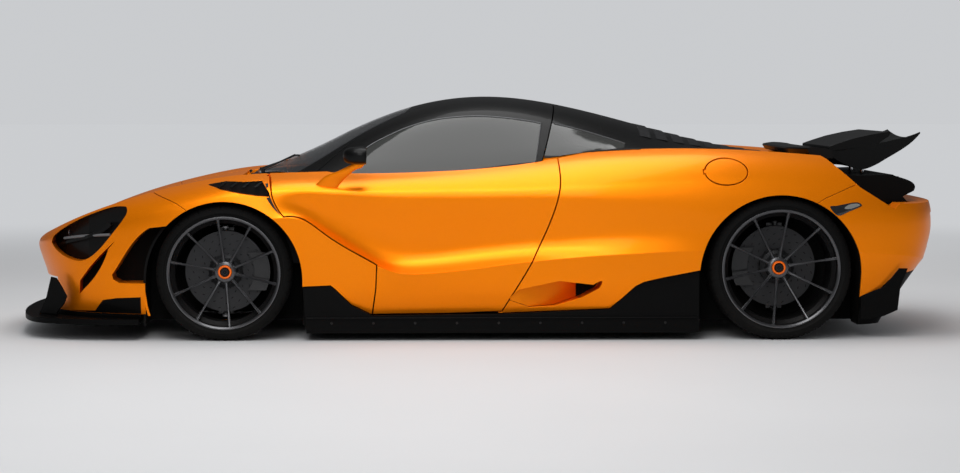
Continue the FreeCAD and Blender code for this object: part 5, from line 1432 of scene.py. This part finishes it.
@dataclass(frozen=True)
class Lamps(Assembly):
    """The lenses and light lines at nose and tail."""

    blade: tuple[tuple[float, float, float], ...] = ((-2.030, -0.630, 0.478), (-1.960, -0.700, 0.489),
                                                      (-1.880, -0.752, 0.497), (-1.790, -0.798, 0.503))
    lenses: tuple[tuple[float, float, float], ...] = ((-1.985, -0.610, 0.505), (-1.900, -0.672, 0.535))
    dome: Profile = ((0.001, 0.012), (0.012, 0.010), (0.020, 0.004), (0.022, 0.0), (0.001, -0.002))
    ring: Profile = ((0.022, -0.012), (0.022, 0.004), (0.027, 0.006), (0.030, 0.002), (0.030, -0.012))
    markers: tuple[tuple[str, Look, Profile, float], ...] = (
        ("side_markers", Look.SMOKED_LENS,
         ((1.666, 0.640), (1.705, 0.598), (1.760, 0.618), (1.800, 0.634), (1.822, 0.646), (1.800, 0.661),
          (1.750, 0.655), (1.700, 0.645)), 0.0015),
        ("side_marker_lenses", Look.CLEAR_LENS,
         ((1.735, 0.632), (1.765, 0.630), (1.797, 0.640), (1.813, 0.647), (1.797, 0.655), (1.758, 0.650)),
         0.0035))

    def build(self) -> None:
        """Makes the lamps' details."""
        line = smooth_line([Vector(point) for point in self.blade])
        Form().tube(line, 0.007).both().piece("day_lamp_lines", Look.LAMP_BLADE, BASE)
        for name, look, section in (("lamp_lenses", Look.LENS_GLASS, self.dome),
                                    ("lamp_rings", Look.BRIGHT_TRIM, self.ring)):
            form = Form()
            for place in self.lenses:
                form.lathe(section, Vector(place), Side.LEFT, 32)
            form.both().piece(name, look, BASE)
        flank = self.skin("rear_bumper", "rear_quarter_left")
        for name, look, outline, lift in self.markers:
            self.lens(flank, outline, lift).both().piece(name, look, BASE)

    @staticmethod
    def lens(skin: Skin, outline: Profile, lift: float) -> Form:
        """A thin lens that follows the panels under it.

        Args:
            skin: The panels.
            outline: The lens's outline as X and Z.
            lift: How far its edge stands off them.

        Returns:
            The lens on the left flank.
        """
        edge = skin.flank_line(outline, lift, 4, closed=True)
        middle = sum(edge, Vector()) / len(edge)
        rings = [[middle.lerp(point, share) for point in edge] for share in (1.0, 0.66, 0.33)]
        for point in (point for ring in rings[1:] for point in ring):
            found = skin.left(point.x, point.z, lift + 0.001)
            if found is not None:
                point.y = found.y
        return Form().loft(rings, start=False)


@dataclass(frozen=True)
class Mesh:
    """A flat field of six-sided wire mesh."""

    name: str
    x: float
    low: float
    high: float
    half: float
    cell: float = 0.011
    wire: float = 0.0018

    def build(self) -> None:
        """Makes the mesh, upright and across the car."""
        pitch, rise, spare = self.cell * math.sqrt(3), self.cell * 1.5, self.cell * 0.5
        form = Form()
        row, z = 0, self.low + self.cell
        while z < self.high - spare:
            y = -self.half + (pitch / 2 if row % 2 else 0.0) + self.cell
            while y < self.half - spare:
                corners = [Vector((self.x, y + sin * self.cell, z + cos * self.cell))
                           for cos, sin in circle(6)]
                form.add(corners, [range(6)])
                y += pitch
            z += rise
            row += 1
        thing = form.piece(self.name, Look.SATIN_PLASTIC, BASE)
        thing.modifiers.new("joined_cells", "WELD").merge_threshold = 0.0005
        thing.modifiers.new("wires", "WIREFRAME").thickness = self.wire


@dataclass(frozen=True)
class Deck(Assembly):
    """The louvres over the engine and the tail's small parts."""

    louvre_from: float = 0.80
    louvre_step: float = 0.085
    louvre_count: int = 8
    louvre_rake: float = 0.055
    louvre_thick: float = 0.003
    pipe_end: tuple[float, float, float] = (1.80, -0.095, 0.712)
    pipe_radius: float = 0.0415

    def build(self) -> None:
        """Makes the deck's pieces."""
        cover, form, down = self.skin("engine_cover"), Form(), Vector((0, 0, -self.louvre_thick))
        for index in range(self.louvre_count):
            x, half = self.louvre_from + index * self.louvre_step, 0.44 - 0.022 * index
            places = (half * share / 8 for share in range(-8, 9))
            edges = ((cover.above(x, y, 0.001), cover.above(x + self.louvre_rake, y, 0.004)) for y in places)
            rows = [[low, high, high + down, low + down] for low, high in edges if None not in (low, high)]
            if len(rows) > 2:
                form.grid(rows, wrap_columns=True)
        form.piece("engine_louvres", Look.SATIN_PLASTIC, BASE)
        # A dark disc inside each tail pipe: soot, and painted shade for the pipe's depth.
        disc = [Vector(self.pipe_end) + Vector((0, cos, sin)) * self.pipe_radius for cos, sin in circle(32)]
        Form().prism(disc, (0.004, 0, 0)).both().piece("exhaust_depths", Look.SOOT, BASE)


@dataclass(frozen=True)
class Chair:
    """One bucket chair: a woven shell with upholstered pads."""

    side: Side
    spread: float = 0.362
    half: float = 0.238
    bolster: float = 0.56
    hem: float = 0.93
    columns: int = 24
    stitched: tuple[int, int] = (5, 19)
    pad_line: Profile = ((-0.330, 0.318), (-0.250, 0.330), (-0.120, 0.318), (0.020, 0.285), (0.105, 0.290),
                         (0.150, 0.390), (0.195, 0.520), (0.235, 0.660), (0.262, 0.780), (0.288, 0.880))
    back_line: Profile = ((-0.334, 0.180), (-0.240, 0.176), (-0.100, 0.172), (0.060, 0.170), (0.180, 0.200),
                          (0.245, 0.350), (0.280, 0.500), (0.310, 0.640), (0.328, 0.780), (0.337, 0.895))

    def build(self) -> None:
        """Makes the shell, the pads and the stitched lines along the bolsters."""
        front, back = (smooth_line(at_y(line), 5) for line in (self.pad_line, self.back_line))
        middle, inner = self.side.value * self.spread, range(1, self.columns)
        rows, under, shell = [], [], []
        for index, (pad, rear) in enumerate(zip(front, back)):
            out = (pad - rear).normalized()
            share = index / (len(front) - 1)
            taper = 0.10 * max(0.0, share - 0.55) / 0.45 + 0.03 * max(0.0, 0.15 - share) / 0.15
            width = self.half * (1.0 - taper)
            row = [pad + out * self.relief(index, u) + Vector((0, middle + u * width * 0.96, 0))
                   for u in (column / self.columns * 2 - 1 for column in range(self.columns + 1))]
            rows.append(row)
            under.append([point - out * 0.05 if place in inner else point for place, point in enumerate(row)])
            shell.append([rear + Vector((0, middle + u * width, 0)) for u in (-1, -0.6, 0, 0.6, 1)]
                         + [pad + out * 0.012 + Vector((0, middle + u * width, 0)) for u in (1, -1)])
        tag = self.side.word
        replaced = ("seats",) if self.side is Side.LEFT else ()
        pads = Form().grid(rows).grid([row[::-1] for row in under])
        cushion = pads.piece("chair_pads_" + tag, Look.HIDE, BASE, *replaced, crease=60.0)
        Form().loft(shell).piece("chair_shell_" + tag, Look.CHAIR_WEAVE, BASE, crease=50.0)
        stitches = Form()
        for column in self.stitched:
            stitches.tube([row[column] + Vector((-0.0015, 0, 0.0015)) for row in rows[1:-1]], 0.0011, 5)
        stitches.piece("chair_stitching_" + tag, Look.STITCH, BASE)

    def relief(self, index: int, u: float) -> float:
        """How far the pads stand out at one place.

        Args:
            index: The row, from the cushion's front to the back's top.
            u: The place across, from -1 to 1.

        Returns:
            The height of bolster, seam, sewn channel and crown together.
        """
        across = abs(u)
        wing = max(0.0, (across - self.bolster) / (1 - self.bolster))
        rise = 0.055 * math.sin(min(1.0, wing * 1.6) * math.pi / 2)
        rise -= 0.05 * max(0.0, (across - self.hem) / (1 - self.hem))
        rise -= 0.006 * math.exp(-((across - self.bolster) / 0.03) ** 2)
        if across >= self.bolster:
            return rise
        channel = -0.004 * max(0.0, math.cos(index * math.tau / 6)) ** 8
        return rise + channel + 0.010 * (1 - (u / self.bolster) ** 2)


@dataclass(frozen=True)
class Cabin(Assembly):
    """The fittings that show through the glass."""

    card_inset: float = 0.7265
    card: Profile = ((-0.93, 0.36), (-0.45, 0.345), (0.28, 0.345), (0.345, 0.60), (0.355, 0.75),
                     (0.10, 0.765), (-0.50, 0.765), (-0.92, 0.755), (-0.96, 0.60))
    displays: tuple[tuple[str, Look, tuple, tuple, float], ...] = (
        ("driver_display_case", Look.SATIN_PLASTIC, (-0.690, -0.47, 0.735), (-0.672, -0.25, 0.800), 0.006),
        ("driver_display", Look.SCREEN, (-0.6722, -0.455, 0.742), (-0.6705, -0.265, 0.793), 0.0005),
        ("centre_display_case", Look.SATIN_PLASTIC, (-0.672, -0.075, 0.560), (-0.655, 0.075, 0.735), 0.006),
        ("centre_display", Look.SCREEN, (-0.6552, -0.064, 0.572), (-0.6535, 0.064, 0.724), 0.0005))
    console: Profile = ((-0.66, 0.335), (-0.66, 0.52), (-0.56, 0.50), (-0.40, 0.43), (-0.10, 0.41),
                        (0.20, 0.43), (0.28, 0.335))
    console_half: float = 0.085
    knob: tuple[float, float, float] = (-0.46, -0.03, 0.452)
    knob_radius: float = 0.018

    def build(self) -> None:
        """Makes the cabin's pieces."""
        for side in Side:
            Chair(side).build()
        card = Form().prism(at_y(self.card, -self.card_inset), (0, 0.0025, 0))
        card.pair("door_card", Look.SUEDE, "door")
        for name, look, low, high, bevel in self.displays:
            Form().block(low, high).piece(name, look, BASE, bevel=bevel)
        console = Form().prism(at_y(self.console, -self.console_half), (0, 2 * self.console_half, 0))
        console.piece("centre_console", Look.SUEDE, BASE, bevel=0.012)
        ring = [Vector(self.knob) + Vector((cos, sin, 0)) * self.knob_radius for cos, sin in circle(24)]
        knobs = Form().prism(ring, (0.004, 0, 0.022)).both()
        knobs.piece("console_knobs", Look.POLISHED, BASE, bevel=0.002)


@dataclass(frozen=True)
class Mirrors(Assembly):
    """The outer mirrors: a black housing with its glass, on a broad painted blade."""

    centre: tuple[float, float] = (-0.962, 0.887)
    half_width: float = 0.084
    half_height: float = 0.043
    squareness: float = 0.7
    housing: Profile = ((-0.662, 0.30), (-0.658, 0.52), (-0.648, 0.74), (-0.630, 0.90), (-0.605, 0.98),
                        (-0.580, 1.0), (-0.558, 0.985), (-0.552, 0.965), (-0.552, 0.925), (-0.560, 0.915))
    glass: tuple[float, float] = (-0.5575, 0.915)
    front_edge: Profile = ((-0.8075, 0.734), (-0.785, 0.757), (-0.746, 0.7895), (-0.687, 0.813),
                           (-0.6345, 0.839), (-0.600, 0.858), (-0.568, 0.8646))
    rear_edge: Profile = ((-0.735, 0.7076), (-0.704, 0.718), (-0.672, 0.7576), (-0.640, 0.789),
                          (-0.605, 0.818), (-0.571, 0.832), (-0.5555, 0.855))
    reach: Profile = ((0.872, 0.013), (0.884, 0.012), (0.905, 0.011), (0.930, 0.010), (0.948, 0.009),
                      (0.958, 0.008), (0.962, 0.005))

    def build(self) -> None:
        """Makes both mirrors."""
        shell = Form().loft([self.ring(x, share) for x, share in self.housing], end=False)
        shell.pair("mirror_shell", Look.GLOSS_WEAVE, "door", "mirror", crease=40.0)
        Form().prism(self.ring(*self.glass), (0.0015, 0, 0)).pair("mirror_glass", Look.MIRROR, "door")
        self.blade().pair("mirror_blade", Look.ORANGE_PAINT, "door", crease=50.0)

    def ring(self, x: float, share: float) -> list[Vector]:
        """One upright section of the housing.

        Args:
            x: Where.
            share: Its size against the largest section.

        Returns:
            The section's points.
        """
        y, z = self.centre

        def squared(value: float) -> float:
            """A turn's cosine or sine, pushed out towards a rectangle."""
            return math.copysign(abs(value) ** self.squareness, value)

        return [Vector((x, y + squared(cos) * self.half_width * share,
                        z + squared(sin) * self.half_height * share)) for cos, sin in circle(40)]

    def blade(self) -> Form:
        """The painted blade that carries the left mirror."""
        lines = (self.front_edge, self.rear_edge, self.reach)
        rings = []
        for start, end, (y, _, thick) in zip(*(smooth_line(at_y(line), 4) for line in lines)):
            middle, half = (start + end) / 2, (end - start) / 2
            rings.append([middle + half * cos + Vector((0, -y + thick * sin, 0)) for cos, sin in circle(20)])
        return Form().loft(rings)


@dataclass(frozen=True)
class Aero(Assembly):
    """The blades of the rear wing, the spoiler ahead of it and the plates beside the diffuser."""

    spoiler: Profile = ((1.732, 0.862), (1.732, 0.902), (1.680, 0.914), (1.620, 0.9185), (1.560, 0.9205),
                        (1.534, 0.9165), (1.530, 0.909), (1.545, 0.888), (1.600, 0.874), (1.660, 0.866))
    spoiler_half: float = 0.64
    spoiler_sweep: float = 0.075
    upper: Profile = ((1.748, 0.9180), (1.800, 0.9360), (1.870, 0.9580), (1.960, 0.9780), (2.045, 0.9910),
                      (2.058, 0.9905), (2.046, 0.9800), (1.960, 0.9610), (1.860, 0.9350), (1.750, 0.9030))
    plate: Profile = ((1.746, 0.892), (1.748, 0.918), (1.800, 0.936), (1.870, 0.958), (1.960, 0.978),
                      (2.058, 0.9905), (2.046, 0.9680), (1.990, 0.9300), (1.900, 0.9120), (1.800, 0.8990))
    wing_half: float = 0.428
    rod_at: float = 0.166
    rod: Profile = ((1.960, 0.772), (1.960, 0.790), (1.960, 0.815), (1.960, 0.836))
    side_plate: Profile = ((1.832, 0.090), (1.886, 0.092), (1.949, 0.107), (2.015, 0.136), (2.028, 0.252),
                           (2.063, 0.338), (2.020, 0.338), (1.950, 0.250), (1.836, 0.205))
    side_plate_at: float = 0.862

    def build(self) -> None:
        """Makes the aerodynamic pieces."""
        spoiler = self.span(self.spoiler, self.spoiler_half, self.spoiler_sweep)
        spoiler.piece("spoiler_blade", Look.GLOSS_WEAVE, BASE, "rear_spoiler", crease=40.0)
        upper = self.span(self.upper, self.wing_half, 0.0)
        upper.piece("wing_upper_blade", Look.GLOSS_WEAVE, "wing", crease=40.0)
        rods = Form().tube(at_y(self.rod, -self.rod_at), 0.0105, 24).both()
        rods.piece("wing_rod_sleeves", Look.POLISHED, "wing")
        for name, look, body, outline, at, thick, bevel in (
                ("wing_end_plates", Look.GLOSS_WEAVE, "wing", self.plate, self.wing_half + 0.0015, 0.004,
                 0.001),
                ("diffuser_side_plates", Look.SATIN_WEAVE, BASE, self.side_plate, self.side_plate_at, 0.006,
                 0.002)):
            Form().prism(at_y(outline, -at), (0, thick, 0)).both().piece(name, look, body, bevel=bevel)

    @staticmethod
    def span(outline: Profile, half: float, sweep: float) -> Form:
        """A blade across the car whose ends sweep back.

        Args:
            outline: Its section as X and Z.
            half: Half its span.
            sweep: How far its ends' leading edge lies behind the middle's.

        Returns:
            The blade.
        """
        rear = max(x for x, _ in outline)
        depth = rear - min(x for x, _ in outline)
        rings = []
        for share in (step / 16 for step in range(-16, 17)):
            shorter = 1.0 - sweep / depth * max(0.0, (abs(share) - 0.6) / 0.4) ** 2
            rings.append([Vector((rear - (rear - x) * shorter, share * half, z)) for x, z in outline])
        return Form().loft(rings)


@dataclass(frozen=True)
class Sills(Assembly):
    """The screws and the ledge of the black panels between the wheels."""

    screw_radius: float = 0.006
    head: float = 0.003
    screw_level: float = 0.085
    screws: tuple[float, float, int] = (-0.72, 0.20, 9)
    ledge_level: float = 0.108
    ledges: tuple[float, float, int] = (-0.84, 0.0468, 41)
    ledge: Profile = ((0.004, 0.0), (-0.012, 0.001), (-0.012, 0.004), (0.004, 0.006))

    def build(self) -> None:
        """Makes the screws and ledges."""
        skirt, form, r, head = self.skin("side_skirts"), Form(), self.screw_radius, self.head
        section = [(0.0008, 0.0), (r, 0.0), (r * 0.9, head), (r * 0.5, head), (r * 0.45, head * 0.5),
                   (0.0008, head * 0.5)]
        for point in self.along(skirt, self.screws, self.screw_level):
            form.lathe(section, point, Side.LEFT, 16)
        form.both().piece("sill_screws", Look.LOCK_NUT, BASE)
        rows = [[foot + Vector((0, out, up)) for out, up in self.ledge]
                for foot in self.along(skirt, self.ledges, self.ledge_level)]
        Form().grid(rows, wrap_columns=True).both().piece("sill_ledges", Look.GLOSS_WEAVE, BASE)

    @staticmethod
    def along(skirt: Skin, places: tuple[float, float, int], z: float) -> list[Vector]:
        """The points of the left skirt at one height, from the first X, the step and the count."""
        found = (skirt.left(places[0] + index * places[1], z) for index in range(places[2]))
        return [point for point in found if point is not None]


def main() -> None:
    """Loads the frame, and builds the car's looks and the studio."""
    logging.basicConfig(level=logging.INFO, format="%(name)s: %(message)s")
    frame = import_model()
    nodes = frame["nodes"]
    Panels(nodes).build()
    for sizes in AXLES:
        for side in Side:
            Wheel(side, *sizes).build()
    arches = Skin(nodes, "front_fender_left", "front_bumper", "rear_quarter_left", "rear_bumper")
    for liner in LINERS:
        liner.build(arches)
    Mesh("nose_mesh", -2.0405, 0.152, 0.286, 0.555).build()
    Mesh("tail_mesh", 2.1275, 0.430, 0.560, 0.655).build()
    for assembly in (Glasshouse, Flanks, Lamps, Deck, Cabin, Mirrors, Aero, Sills):
        assembly(nodes).build()
    Studio().build()


if __name__ == "__main__":
    main()
